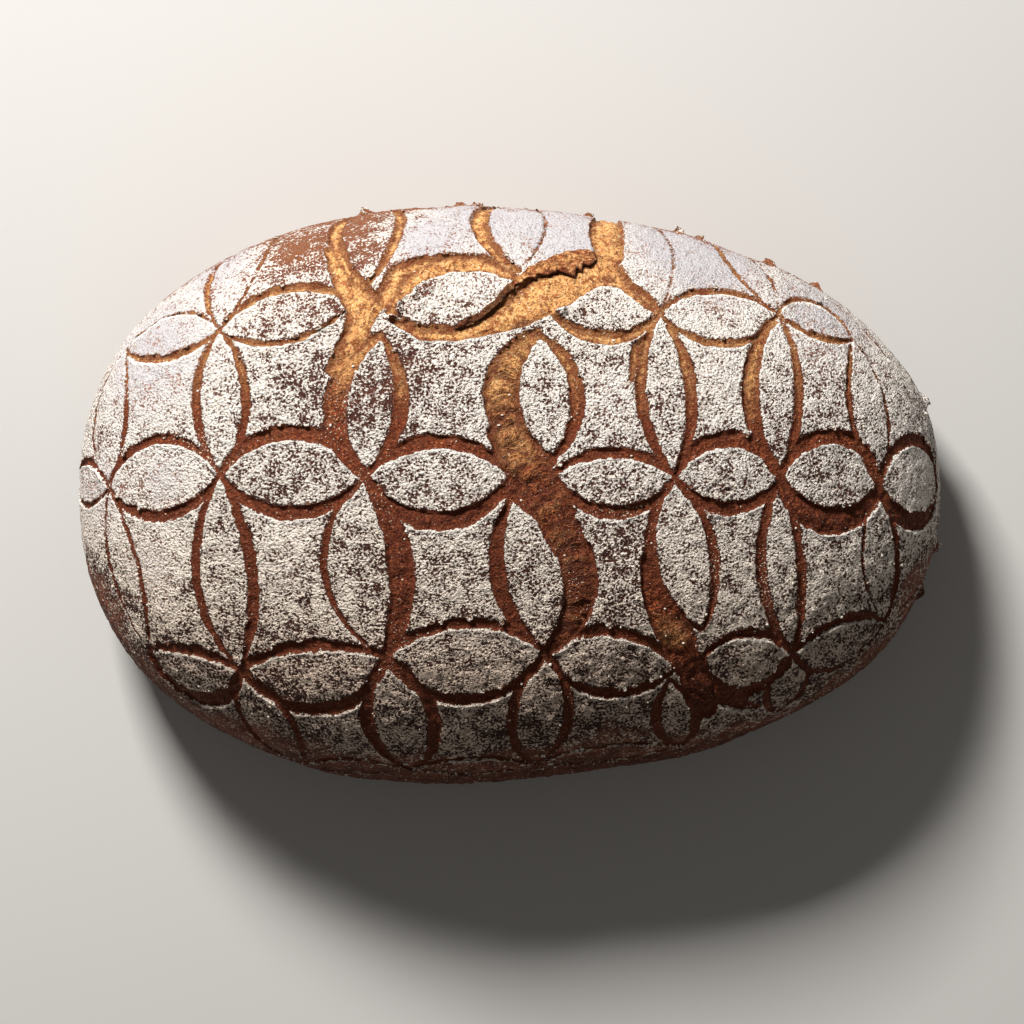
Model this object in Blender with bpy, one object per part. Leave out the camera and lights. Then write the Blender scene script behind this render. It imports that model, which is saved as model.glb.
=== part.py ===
"""A long sourdough loaf, its floured crust scored with overlapping circles.

The crust is worked out on a flat sheet first. A point on the sheet lies as far
from the middle, and in the same direction, as the point on the loaf lies from
the top of the dome, measured along the crust. The cuts are drawn on the sheet,
the sheet is cut into triangles along their rims and floors, and the triangles
are then laid over the domed body.

Metres, +Z up. The origin is on the flat base, under the middle of the loaf.
"""

import math

import bmesh
import bpy
import numpy as np
from mathutils import Vector
from mathutils.geometry import delaunay_2d_cdt

MM = 0.001

# The body: an oval seen from above, a dome and a tucked-in underside
HALF_LENGTH = 144 * MM
HALF_WIDTH = 95.6 * MM
PLAN_POWER = 2.25
PLAN_TURN = 0.005
PLAN_SHIFT_X = -0.0186
PLAN_SHIFT_Y = -0.0035
PLAN_THIRD = 0.0201
HEIGHT = 99 * MM
WIDEST_HEIGHT = 30 * MM
DOME_POWER = 2.2
TUCK_POWER = 1.8
BASE_SHARE = 0.84
LUMP_SIZE = 38 * MM
LUMP_HEIGHT = 0.9 * MM

# The cuts: how deep they are and how their rims stand up
WALL_WIDTH = 1.1 * MM
SHALLOW_DEPTH = 0.5 * MM
DEPTH_PER_WIDTH = 0.17
DEEPEST_CUT = 1.9 * MM
TEAR_HALF_WIDTH = 3.6 * MM
TEAR_SWELL = 0.42
TIP_WIDTH_SHARE = 0.38
RIM_RAGGEDNESS = 0.35 * MM
RAG_SIZE = 3.2 * MM
LIP_HEIGHT = 0.55 * MM
LIP_REACH = 1.6 * MM
PUFF_HEIGHT = 0.5 * MM
PUFF_REACH = 5 * MM

# The curled edge of crust beside the biggest tear, and the small standing flakes
EAR_HEIGHT = 2.6 * MM
EAR_LEAN = 1.5 * MM
FLAKE_HEIGHT = 2.0 * MM
FLAKE_LENGTH = 4.2 * MM
FLAKE_WIDTH = 1.5 * MM

# How finely the sheet is divided
GRID_STEP = 0.8 * MM
RIM_TOLERANCE = 0.2 * MM
FLOOR_TOLERANCE = 0.32 * MM
PLATE_STEP = 8.2 * MM
TEAR_STEP = 4.6 * MM
VALLEY_STEP = 7.5 * MM
KEEP_OFF = 2.0 * MM
SHORTEST_LOOP = 6 * MM
BASE_POINTS = 80
FIELD_REACH = 12 * MM

# Where the circles cross, in millimetres on the sheet. The letters are the rows
# from the far side to the near side, the numbers run from left to right.
# A crossing that has been pulled apart has one point for each tip round it.
CROSSINGS = {
    "D1": (-108, 120), "D2": (-62, 132), "D3": (3, 134), "D4": (57, 130), "D5": (98, 118),
    "A0": (-141, 53), "A1": (-98, 55), "A4": (50, 60), "A5": (93, 62), "A6": (121, 54),
    "A2 left": (-52, 63), "A2 up": (-48, 69), "A2 right": (-39, 60), "A2 down": (-42, 51),
    "A3 left": (2, 73), "A3 up": (3, 76), "A3 right": (14, 59), "A3 down": (9, 52),
    "B left": (-172, 6), "B0": (-139, 2), "B1": (-94, 6), "B2": (-46, 5),
    "B3 left": (1, 5), "B3 up": (13, 10), "B3 right": (14, 6), "B3 down": (1, -1),
    "B4": (53, 5), "B5": (88, 5), "B6": (125, 2), "B right": (163, 2),
    "C0": (-127, -55), "C1": (-91, -60), "C2": (-40, -53), "C3": (12, -52),
    "C4 left": (55, -58), "C4 up": (63, -45), "C4 right": (64, -54), "C4 down": (54, -63),
    "C5": (96, -55), "C6": (135, -46),
    "E1": (-83, -107), "E2": (-37, -103), "E3": (9, -104), "E4": (65, -95), "E5": (100, -82),
}

# Petals between two crossings. Each has two cuts: how far the cut swings out
# from the straight line, and how wide it has opened, in millimetres.
# Lying petals run left to right and give the far cut first.
LYING_PETALS = [
    ("D2", "D3", 5, 1.5, 6, 2.4), ("D3", "D4", 5, 1.5, 5, 2.0), ("D4", "D5", 5, 1.5, 5, 2.2),
    ("A0", "A1", 10, 1.4, 8, 3.4), ("A1", "A2 left", 10.5, 3.8, 9.3, 2.4),
    ("A2 right", "A3 left", 12.8, 9.2, 13, 2.6), ("A3 right", "A4", 13, 5.0, 8.6, 5.2),
    ("A4", "A5", 9.3, 3.5, 11.8, 3.3), ("A5", "A6", 12.3, 3.0, 4.5, 3.4),
    ("B left", "B0", 8, 3.4, 8, 2.8), ("B0", "B1", 14, 3.7, 11.6, 4.6),
    ("B1", "B2", 14, 6.0, 12, 5.2), ("B2", "B3 left", 11.3, 5.4, 14, 6.8),
    ("B3 right", "B4", 7.4, 4.4, 11.8, 5.0), ("B4", "B5", 12.3, 5.8, 10, 5.0),
    ("B5", "B6", 15.2, 5.8, 12.8, 9.6), ("B6", "B right", 17, 5.4, 12.0, 7.2),
    ("C0", "C1", 4.4, 4.2, 16, 7.0), ("C1", "C2", 6.4, 4.4, 17, 5.5), ("C2", "C3", 10.6, 4.2, 17, 4.6),
    ("C3", "C4 left", 10.2, 4.4, 12.8, 4.4), ("C4 right", "C5", 8.2, 3.8, 14, 5.0),
    ("C5", "C6", 7.4, 4.0, 13, 2.8),
    ("E1", "E2", 7, 2.0, 5, 1.2), ("E2", "E3", 7, 2.2, 5, 1.2), ("E3", "E4", 7, 2.0, 5, 1.2),
]
# Standing petals run from the far side to the near side, left cut first.
STANDING_PETALS = [
    ("D1", "A1", 9, 3.6, 14, 1.5), ("D2", "A2 up", 10, 6.0, 14.3, 4.6),
    ("D3", "A3 up", 14.3, 7.4, 10.8, 1.5), ("D4", "A4", 20, 8.0, 7, 1.4), ("D5", "A5", 14.3, 2.7, 1.6, 1.4),
    ("A0", "B0", 12, 1.2, 8, 2.0), ("A1", "B1", 7.6, 3.6, 10, 3.2),
    ("A2 down", "B2", 12, 7.8, 9.4, 5.0), ("A3 down", "B3 up", 13.6, 11.6, 11, 5.2),
    ("A4", "B4", 9.2, 4.0, 7.2, 4.2), ("A5", "B5", 12.3, 6.0, 4.7, 3.4), ("A6", "B6", 9.2, 2.7, 7, 1.6),
    ("B0", "C0", 7, 1.7, 7.2, 2.2), ("B1", "C1", 10.6, 3.3, 9, 4.2), ("B2", "C2", 16.3, 2.4, 8.6, 8.6),
    ("B3 down", "C3", 10, 5.4, 16, 11.4), ("B4", "C4 up", 12.9, 4.5, 7.8, 3.8),
    ("B5", "C5", 10, 4.0, 4, 3.4), ("B6", "C6", 11, 1.2, 5, 3.2),
    ("C1", "E1", 8, 2.2, 12, 3.4), ("C2", "E2", 9.6, 5.0, 13, 4.7), ("C3", "E3", 9.6, 3.8, 10, 3.8),
    ("C4 down", "E4", 8, 4.0, 6, 4.0), ("C5", "E5", 8, 3.0, 8, 2.4),
]

# Places where the crust has torn open: x, y and half the opening, in millimetres
TEARS = {
    "far": [(-38, 56, 1.0), (-29, 52, 2.5), (-18, 52, 3.0), (-6, 56, 4.5), (4, 61, 6.5), (12, 66, 7.5),
            (20, 71, 6.5), (29, 76, 5.5), (36, 85, 5.0), (38, 99, 6.0), (44, 127, 5.5)],
    "middle": [(-2, 19, 5.0), (2, 11, 6.0), (7, 5, 7.0), (11, -1, 7.0), (15, -8, 6.5), (18.5, -16, 6.0)],
    "near": [(44, -21, 2.5), (45, -31, 3.2), (49, -40, 4.7), (55, -48, 6.2), (59, -57, 4.5),
             (65, -67, 6.0), (69, -76, 3.5)],
    "near branch": [(64, -64, 5.0), (74, -70, 4.0), (88, -76, 1.5)],
    "left": [(-63, 86, 2.5), (-55, 70, 4.5), (-48, 62, 6.5), (-50, 53, 4.5), (-56, 40, 3.5)],
    "left branch": [(-41, 64, 3.5), (-38, 75, 3.3), (-29, 80, 2.6)],
    "right edge, far": [(130, 64, 0.6), (134, 57, 0.8), (141, 48, 0.6)],
    "right edge, near": [(174, -12, 0.8), (172, -24, 0.9), (162, -34, 0.9), (146, -42, 0.9)],
    "strip beside the middle petal": [(15, 50, 0.5), (19.5, 43, 0.9), (24, 36, 0.7)],
    "strip on the fourth petal": [(47, 53, 0.6), (41, 47, 1.4), (40, 42, 1.4), (39, 36, 0.8), (37.6, 33.5, 0.4)],
}
EAR_LINE = [(-18, 54), (-10, 58), (-4, 64), (1, 71), (7, 76), (14, 79), (23, 83), (31, 84)]
EAR_HALF_WIDTH = [0.8, 1.3, 1.6, 1.8, 2.4, 2.8, 3.0, 2.0]
FLAKES = [(-59, 115), (-23, 134), (-15, 134), (37, 129), (78, 119), (86, 115), (114, 101),
          (131, 89), (169, 38), (172, -21), (167, -40)]

CRUST_COLOUR = (0.34, 0.17, 0.08, 1.0)


def clear_scene():
    for thing in list(bpy.data.objects):
        bpy.data.objects.remove(thing, do_unlink=True)


# The body and the sheet that is laid over it

def plan_radius(angle):
    """How far the widest line of the loaf is from the middle, in one direction."""
    turned = angle - PLAN_TURN
    along = np.abs(np.cos(turned) / HALF_LENGTH) ** PLAN_POWER
    across = np.abs(np.sin(turned) / HALF_WIDTH) ** PLAN_POWER
    oval = (along + across) ** (-1 / PLAN_POWER)
    shift = PLAN_SHIFT_X * np.cos(angle) + PLAN_SHIFT_Y * np.sin(angle)
    return oval * (1 + shift + PLAN_THIRD * np.cos(3 * angle))


def crust_line(step):
    """Share of the radius and height: step 0 at the top, 1 at the widest line, 2 at the base."""
    over = np.clip(step, 0, 1) * math.pi / 2
    under = np.clip(step - 1, 0, 1) * math.pi / 2
    dome_share = np.sin(over) ** (2 / DOME_POWER)
    dome_height = (HEIGHT - WIDEST_HEIGHT) * np.clip(np.cos(over), 0, 1) ** (2 / DOME_POWER)
    tuck_share = (1 - BASE_SHARE) * (1 - np.clip(np.cos(under), 0, 1) ** (2 / TUCK_POWER))
    tuck_height = WIDEST_HEIGHT * np.sin(under) ** (2 / TUCK_POWER)
    return dome_share - tuck_share, WIDEST_HEIGHT + dome_height - tuck_height


def measure_crust():
    """For a row of plan radii, the step reached after each distance along the crust."""
    steps = np.linspace(0, 2, 601)
    share, height = crust_line(steps)
    radii = np.linspace(0.9 * HALF_WIDTH, 1.1 * HALF_LENGTH, 40)
    distances = np.linspace(0, 0.25, 700)
    table = []
    lengths = []
    for radius in radii:
        run = np.hypot(np.diff(share * radius), np.diff(height))
        length = np.concatenate([[0], np.cumsum(run)])
        table.append(np.interp(distances, length, steps))
        lengths.append(length[-1])
    return radii, distances, np.array(table), np.array(lengths)


RADII, DISTANCES, STEP_TABLE, CRUST_LENGTHS = measure_crust()


def sheet_edge(angle):
    """Distance from the middle of the sheet to the edge of the base."""
    return np.interp(plan_radius(angle), RADII, CRUST_LENGTHS)


def lay_on_body(points):
    """Places on the smooth body for points of the sheet."""
    angle = np.arctan2(points[:, 1], points[:, 0])
    distance = np.hypot(points[:, 0], points[:, 1])
    radius = plan_radius(angle)
    row = (radius - RADII[0]) / (RADII[1] - RADII[0])
    column = np.clip(distance / (DISTANCES[1] - DISTANCES[0]), 0, len(DISTANCES) - 1.001)
    low_row = np.floor(row).astype(int)
    low_column = np.floor(column).astype(int)
    across = row - low_row
    along = column - low_column
    near = STEP_TABLE[low_row, low_column] * (1 - along) + STEP_TABLE[low_row, low_column + 1] * along
    far = STEP_TABLE[low_row + 1, low_column] * (1 - along) + STEP_TABLE[low_row + 1, low_column + 1] * along
    share, height = crust_line(near * (1 - across) + far * across)
    return np.stack([share * radius * np.cos(angle), share * radius * np.sin(angle), height], axis=1)


def body_directions(points):
    """The sheet's two directions and the outward normal, as they lie on the body."""
    reach = 0.5 * MM
    right = lay_on_body(points + [reach, 0]) - lay_on_body(points - [reach, 0])
    away = lay_on_body(points + [0, reach]) - lay_on_body(points - [0, reach])
    right = right / np.linalg.norm(right, axis=1, keepdims=True)
    away = away / np.linalg.norm(away, axis=1, keepdims=True)
    normal = np.cross(right, away)
    normal = normal / np.linalg.norm(normal, axis=1, keepdims=True)
    return right, away, normal


def wobble(points, size, seed):
    """Smooth random heights between -1 and 1 over the sheet."""
    heights = np.random.default_rng(seed).uniform(-1, 1, (64, 64))
    places = points / size + 1000.0
    cell = np.floor(places).astype(int)
    part = places - cell
    part = part * part * (3 - 2 * part)
    i, j = cell[:, 0], cell[:, 1]
    low = heights[i % 64, j % 64] * (1 - part[:, 0]) + heights[(i + 1) % 64, j % 64] * part[:, 0]
    high = heights[i % 64, (j + 1) % 64] * (1 - part[:, 0]) + heights[(i + 1) % 64, (j + 1) % 64] * part[:, 0]
    return low * (1 - part[:, 1]) + high * part[:, 1]


# The cuts and tears

def swung_line(start, end, swing, count=17):
    """Points on the round arc from start to end that swings out to one side."""
    start = np.array(start, float)
    end = np.array(end, float)
    chord = end - start
    length = np.hypot(*chord)
    side = np.array([-chord[1], chord[0]]) / length
    radius = (length * length / 4 + swing * swing) / (2 * abs(swing))
    half_angle = math.asin(min(1, length / (2 * radius)))
    turn = np.linspace(-half_angle, half_angle, count)
    along = length / 2 + radius * np.sin(turn)
    out = radius * (np.cos(turn) - math.cos(half_angle)) * math.copysign(1, swing)
    return start + np.outer(along / length, chord) + np.outer(out, side)


def opening(width, count=17):
    """Half the width along a cut, widest at the middle."""
    along = np.linspace(0, 1, count)
    return width / 2 * (TIP_WIDTH_SHARE + (1 - TIP_WIDTH_SHARE) * np.sin(math.pi * along) ** 0.8)


def draw_cuts():
    """Every cut and tear as a line of points with half its width at each point."""
    cuts = []
    for start, end, far_swing, far_width, near_swing, near_width in LYING_PETALS:
        for swing, width in ((far_swing, far_width), (-near_swing, near_width)):
            line = swung_line(CROSSINGS[start], CROSSINGS[end], swing)
            cuts.append((line * MM, opening(width) * MM))
    for start, end, left_swing, left_width, right_swing, right_width in STANDING_PETALS:
        for swing, width in ((-left_swing, left_width), (right_swing, right_width)):
            line = swung_line(CROSSINGS[start], CROSSINGS[end], swing)
            cuts.append((line * MM, opening(width) * MM))
    for tear in TEARS.values():
        table = np.array(tear, float) * MM
        cuts.append((table[:, :2], table[:, 2]))
    return cuts


def nearest_on_line(points, line, half_width):
    """Distance from the edge of a stroke, and its half width, at the nearest place."""
    best = np.full(len(points), np.inf)
    width = np.zeros(len(points))
    for start, end, start_width, end_width in zip(line, line[1:], half_width, half_width[1:]):
        step = end - start
        share = np.clip(((points - start) @ step) / (step @ step), 0, 1)
        here = start_width + (end_width - start_width) * share
        away = np.hypot(*(points - start - share[:, None] * step).T) - here
        nearer = away < best
        best[nearer] = away[nearer]
        width[nearer] = here[nearer]
    return best, width


CUTS = draw_cuts()
EAR = (np.array(EAR_LINE, float) * MM, np.array(EAR_HALF_WIDTH) * MM)


def cut_field(points):
    """Distance to the nearest rim (minus inside a cut) and the height of the floor."""
    rag = RIM_RAGGEDNESS * (wobble(points, RAG_SIZE, 3) + 0.6 * wobble(points, RAG_SIZE / 2, 4))
    distance = np.full(len(points), FIELD_REACH)
    floor = np.zeros(len(points))
    for line, half_width in CUTS:
        margin = FIELD_REACH + half_width.max()
        inside = np.all((points > line.min(axis=0) - margin) & (points < line.max(axis=0) + margin), axis=1)
        if not inside.any():
            continue
        away, width = nearest_on_line(points[inside], line, half_width)
        away = away + rag[inside]
        depth = np.minimum(SHALLOW_DEPTH + DEPTH_PER_WIDTH * width * 2, DEEPEST_CUT)
        wall = np.minimum(WALL_WIDTH, 0.8 * width)
        fall = np.clip(-away / wall, 0, 1)
        inward = np.clip((-away - wall) / np.maximum(width - wall, MM), 0, 1)
        swell = np.clip(width / TEAR_HALF_WIDTH - 0.6, 0, 1) * TEAR_SWELL * depth
        height = -depth * fall + swell * np.sin(inward * math.pi / 2)
        distance[inside] = np.minimum(distance[inside], away)
        floor[inside] = np.minimum(floor[inside], height)
    return distance, floor


def relief(points):
    """How far the crust stands out from the smooth body, and how far it leans sideways."""
    distance, floor = cut_field(points)
    outside = np.clip(1 + distance / (0.3 * MM), 0, 1)
    away = np.maximum(distance, 0)
    curl = np.clip(0.55 + 0.8 * wobble(points, 6 * MM, 5), 0, 1.3)
    plate = LIP_HEIGHT * curl * np.exp(-away / LIP_REACH) + PUFF_HEIGHT * (1 - np.exp(-away / PUFF_REACH))
    height = floor + outside * plate
    ear_distance, ear_width = nearest_on_line(points, *EAR)
    ear = np.clip(-ear_distance / np.maximum(ear_width, MM), 0, 1) ** 0.6
    tatter = 1 + 0.3 * wobble(points, 3 * MM, 6)
    height = height + ear * tatter * EAR_HEIGHT
    for place in FLAKES:
        centre = np.array(place, float) * MM
        out = centre / np.hypot(*centre)
        offset = points - centre
        along = offset @ np.array([-out[1], out[0]]) / FLAKE_LENGTH
        across = offset @ out / FLAKE_WIDTH
        height = height + FLAKE_HEIGHT * np.exp(-2 * (along ** 2 + across ** 2))
    lumps = LUMP_HEIGHT * (wobble(points, LUMP_SIZE, 7) + 0.4 * wobble(points, LUMP_SIZE / 2, 8))
    lean = np.outer(ear * EAR_LEAN, [0.55, -0.8])
    return height + lumps, lean


# Dividing the sheet into triangles

def corner_values(field):
    return field[:-1, :-1], field[1:, :-1], field[1:, 1:], field[:-1, 1:]


def trace_level(field, origin, step, level):
    """Closed and open lines along which the field has one value."""
    field = field - level
    field[field == 0] = 1e-12
    low, right, both, high = corner_values(field > 0)
    kinds = low * 1 + right * 2 + both * 4 + high * 8
    crossing = np.argwhere((kinds > 0) & (kinds < 15))
    links = {}
    places = {}

    def place(kind, i, j):
        key = (kind, i, j)
        if key not in places:
            first = field[i, j]
            second = field[i + 1, j] if kind == 0 else field[i, j + 1]
            share = first / (first - second)
            shift = (share, 0) if kind == 0 else (0, share)
            places[key] = (origin[0] + (i + shift[0]) * step, origin[1] + (j + shift[1]) * step)
        return key

    for i, j in crossing:
        sides = []
        if (field[i, j] > 0) != (field[i + 1, j] > 0):
            sides.append(place(0, i, j))
        if (field[i + 1, j] > 0) != (field[i + 1, j + 1] > 0):
            sides.append(place(1, i + 1, j))
        if (field[i, j + 1] > 0) != (field[i + 1, j + 1] > 0):
            sides.append(place(0, i, j + 1))
        if (field[i, j] > 0) != (field[i, j + 1] > 0):
            sides.append(place(1, i, j))
        pairs = [sides] if len(sides) == 2 else [sides[:2], sides[2:]]
        for first, second in pairs:
            links.setdefault(first, []).append(second)
            links.setdefault(second, []).append(first)
    lines = []
    while links:
        start = next(iter(links))
        chain = [start]
        while True:
            follow = links[chain[-1]]
            if not follow:
                break
            nearest = follow.pop()
            links[nearest].remove(chain[-1])
            chain.append(nearest)
            if nearest == start:
                break
        for key in set(chain):
            if key in links and not links[key]:
                del links[key]
        lines.append(np.array([places[key] for key in chain]))
    return lines


def simplify(line, tolerance):
    """Keeps only the points that a line needs to stay within the tolerance."""
    keep = np.zeros(len(line), bool)
    keep[0] = True
    keep[-1] = True
    spans = [(0, len(line) - 1)]
    if np.allclose(line[0], line[-1]):
        middle = int(np.argmax(np.hypot(*(line - line[0]).T)))
        keep[middle] = True
        spans = [(0, middle), (middle, len(line) - 1)]
    while spans:
        first, last = spans.pop()
        if last - first < 2:
            continue
        chord = line[last] - line[first]
        length = max(np.hypot(*chord), 1e-9)
        offset = line[first + 1:last] - line[first]
        away = np.abs(offset[:, 0] * chord[1] - offset[:, 1] * chord[0]) / length
        worst = int(np.argmax(away))
        if away[worst] > tolerance:
            middle = first + 1 + worst
            keep[middle] = True
            spans.append((first, middle))
            spans.append((middle, last))
    return line[keep]


def sheet_points():
    """Points and lines that the triangles have to keep."""
    half_x = sheet_edge(np.array([0.0, math.pi])).max() + 4 * MM
    half_y = sheet_edge(np.array([math.pi / 2, -math.pi / 2])).max() + 4 * MM
    columns = np.arange(-half_x, half_x, GRID_STEP)
    rows = np.arange(-half_y, half_y, GRID_STEP)
    grid = np.stack(np.meshgrid(columns, rows, indexing="ij"), axis=-1).reshape(-1, 2)
    distance, floor = cut_field(grid)
    field = distance.reshape(len(columns), len(rows))
    points = []
    lines = []

    def add_line(line):
        first = len(points)
        closed = np.allclose(line[0], line[-1])
        kept = line[:-1] if closed else line
        points.extend(kept)
        for index in range(len(kept) - 1):
            lines.append((first + index, first + index + 1))
        if closed:
            lines.append((first + len(kept) - 1, first))

    for level, tolerance in ((0.0, RIM_TOLERANCE), (-WALL_WIDTH, FLOOR_TOLERANCE)):
        for line in trace_level(field.copy(), (columns[0], rows[0]), GRID_STEP, level):
            if np.hypot(*np.diff(line, axis=0).T).sum() > SHORTEST_LOOP:
                add_line(simplify(line, tolerance))

    loose = []
    for line, half_width in CUTS:
        run = np.concatenate([[0], np.cumsum(np.hypot(*np.diff(line, axis=0).T))])
        count = max(2, int(run[-1] / VALLEY_STEP))
        at = np.linspace(0.06, 0.94, count) * run[-1]
        places = np.stack([np.interp(at, run, line[:, 0]), np.interp(at, run, line[:, 1])], axis=1)
        narrow = np.interp(at, run, half_width) < WALL_WIDTH + 0.5 * MM
        loose.append(places[narrow])
    loose = np.concatenate(loose)
    loose = loose[cut_field(loose)[0] < -0.35 * MM]
    points.extend(loose)
    ear_line, ear_width = EAR
    points.extend(ear_line)
    for place in FLAKES:
        centre = np.array(place, float) * MM
        points.append(centre)
        for turn in np.arange(6) * math.pi / 3:
            points.append(centre + 2.4 * MM * np.array([math.cos(turn), math.sin(turn)]))

    rng = np.random.default_rng(11)
    for step, inside in ((PLATE_STEP, False), (TEAR_STEP, True)):
        hexagons = []
        for row, y in enumerate(np.arange(-half_y, half_y, step * 0.866)):
            for x in np.arange(-half_x, half_x, step):
                hexagons.append((x + (row % 2) * step / 2, y))
        fill = np.array(hexagons) + rng.uniform(-0.18, 0.18, (len(hexagons), 2)) * step
        away = cut_field(fill)[0]
        edge = sheet_edge(np.arctan2(fill[:, 1], fill[:, 0])) - np.hypot(fill[:, 0], fill[:, 1])
        if inside:
            wanted = (away < -WALL_WIDTH - 1.2 * MM) & (edge > KEEP_OFF)
        else:
            wanted = (away > KEEP_OFF) & (edge > PLATE_STEP / 2)
        points.extend(fill[wanted])

    first = len(points)
    for turn in np.arange(BASE_POINTS) * 2 * math.pi / BASE_POINTS:
        reach = float(sheet_edge(np.array([turn]))[0])
        points.append(np.array([math.cos(turn), math.sin(turn)]) * reach)
    for index in range(BASE_POINTS):
        lines.append((first + index, first + (index + 1) % BASE_POINTS))
    return np.array(points), lines


def build_loaf():
    points, lines = sheet_points()
    in_millimetres = [Vector((x, y)) for x, y in points / MM]
    found, edges, faces, *rest = delaunay_2d_cdt(in_millimetres, lines, [], 0, 0.05)
    sheet = np.array([(place.x, place.y) for place in found]) * MM
    body = lay_on_body(sheet)
    right, away, normal = body_directions(sheet)
    height, lean = relief(sheet)
    fade = np.clip(body[:, 2] / (12 * MM), 0, 1) ** 2
    height = (height * fade)[:, None]
    lean = lean * fade[:, None]
    places = body + normal * height + right * lean[:, :1] + away * lean[:, 1:]
    on_edge = sheet_edge(np.arctan2(sheet[:, 1], sheet[:, 0])) - np.hypot(sheet[:, 0], sheet[:, 1])
    places[on_edge < 0.1 * MM, 2] = 0
    places[:, 2] = np.maximum(places[:, 2], 0)

    mesh = bpy.data.meshes.new("loaf")
    bm = bmesh.new()
    corners = [bm.verts.new(place) for place in places]
    for face in faces:
        bm.faces.new([corners[index] for index in face])
    loose = [vert for vert in bm.verts if not vert.link_faces]
    bmesh.ops.delete(bm, geom=loose, context="VERTS")
    rim = [edge for edge in bm.edges if edge.is_boundary]
    bmesh.ops.triangle_fill(bm, edges=rim, use_beauty=True)
    bmesh.ops.recalc_face_normals(bm, faces=bm.faces)
    bm.to_mesh(mesh)
    bm.free()
    loaf = bpy.data.objects.new("loaf", mesh)
    bpy.context.scene.collection.objects.link(loaf)

    crust = bpy.data.materials.new("crust")
    crust.use_nodes = True
    shader = crust.node_tree.nodes["Principled BSDF"]
    shader.inputs["Base Color"].default_value = CRUST_COLOUR
    shader.inputs["Roughness"].default_value = 0.85
    mesh.materials.append(crust)
    return loaf


clear_scene()
build_loaf()
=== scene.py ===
"""The looks of a sourdough loaf: floured crust, opened cuts, torn crumb and a dark curled ear.

The crust is modelled as a flat sheet first, as in the solid it replaces. The cuts are
drawn on the sheet, their rims are pulled onto it, and the sheet is laid over the dome.
Lengths are metres, and the tables on the sheet are millimetres.
"""

import math

import bpy
import numpy as np
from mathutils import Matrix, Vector


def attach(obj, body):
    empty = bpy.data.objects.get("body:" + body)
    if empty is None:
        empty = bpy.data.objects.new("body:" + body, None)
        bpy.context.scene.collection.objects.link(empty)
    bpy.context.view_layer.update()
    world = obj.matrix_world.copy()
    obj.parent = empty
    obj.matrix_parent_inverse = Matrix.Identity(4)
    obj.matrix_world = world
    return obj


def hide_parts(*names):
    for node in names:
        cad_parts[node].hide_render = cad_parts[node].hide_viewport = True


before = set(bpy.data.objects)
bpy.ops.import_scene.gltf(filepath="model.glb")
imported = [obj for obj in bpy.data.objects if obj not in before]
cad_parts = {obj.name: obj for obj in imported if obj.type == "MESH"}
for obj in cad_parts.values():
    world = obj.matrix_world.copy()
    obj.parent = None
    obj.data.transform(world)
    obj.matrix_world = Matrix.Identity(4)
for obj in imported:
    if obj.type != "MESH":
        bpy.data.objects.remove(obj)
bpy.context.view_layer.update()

MM = 0.001

# The body: an oval seen from above, a dome and a tucked-in underside
HALF_LENGTH = 144 * MM
HALF_WIDTH = 95.6 * MM
PLAN_POWER = 2.25
PLAN_TURN = 0.005
PLAN_SHIFT_X = -0.0186
PLAN_SHIFT_Y = -0.0035
PLAN_THIRD = 0.0201
HEIGHT = 99 * MM
WIDEST_HEIGHT = 30 * MM
DOME_POWER = 2.2
TUCK_POWER = 1.8
BASE_SHARE = 0.84
LUMP_SIZE = 38 * MM
LUMP_HEIGHT = 0.9 * MM

# The cuts: how deep they are and how their rims stand up
WALL_WIDTH = 0.9 * MM
SHALLOW_DEPTH = 0.32 * MM
DEPTH_PER_WIDTH = 0.09
DEEPEST_CUT = 1.3 * MM
TEAR_HALF_WIDTH = 3.6 * MM
TEAR_SWELL = 0.8
TIP_WIDTH_SHARE = 0.38
RIM_RAGGEDNESS = 0.35 * MM
RAG_SIZE = 3.2 * MM
FINE_RAG = 0.2 * MM
FINE_RAG_SIZE = 1.5 * MM
TORN_RAG = 0.95 * MM
TORN_RAG_SIZE = 4.2 * MM
# Towards the near side the torn edges are more ragged
NEAR_RAG = 1.2
NEAR_START = 20 * MM
NEAR_SPREAD = 25 * MM
WORN_SIZE = 9 * MM
WORN_SEED = 24
LIP_HEIGHT = 0.3 * MM
LIP_REACH = 1.6 * MM
CURL_SIZE = 6 * MM
BEAD_HEIGHT = 0.3 * MM
BEAD_REACH = 1.5 * MM
PUFF_HEIGHT = 0.5 * MM
PUFF_REACH = 5 * MM
OVERHANG = 0.4 * MM
OVERHANG_REACH = 1.2 * MM
OVERHANG_RAG = 3.5 * MM
RIM_SOFTNESS = 0.3 * MM

# The relief of the skin and of the torn crumb
RUMPLE_HEIGHT = 0.17 * MM
RUMPLE_SIZE = 3.4 * MM
GRAIN_HEIGHT = 0.19 * MM
GRAIN_SIZE = 1.7 * MM
FLOOR_GRAIN = 0.26 * MM
WRINKLE_HEIGHT = 0.45 * MM
WRINKLE_SPACING = 2.6 * MM
WRINKLE_LENGTH = 9 * MM
WRINKLE_BOW = 14 * MM
WRINKLE_WARP = 1.6 * MM
WRINKLED_WIDTH = 6.6 * MM
CRAG_HEIGHT = 3.0 * MM
CRAG_SIZE = 2.6 * MM
FINE_CRAG_SIZE = 1.5 * MM
CRUMB_SIZES = [(1.6 * MM, 1, 17), (3 * MM, 0.9, 18), (5.5 * MM, 0.5, 25)]
FLOOR_EDGE = 0.8 * MM
# How much rougher the bare skin is than the rumples alone, and how much of it thick flour hides
SKIN_ROUGHNESS = 1.3
HIDDEN_BY_FLOUR = 0.675

# The sheet's own mesh, and the lines where it is parted into three pieces
SHEET_STEP = 0.75 * MM
ROW_STEP = SHEET_STEP * math.sqrt(3) / 2
PARTING = 45 * MM
FIELD_REACH = 12 * MM

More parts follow.
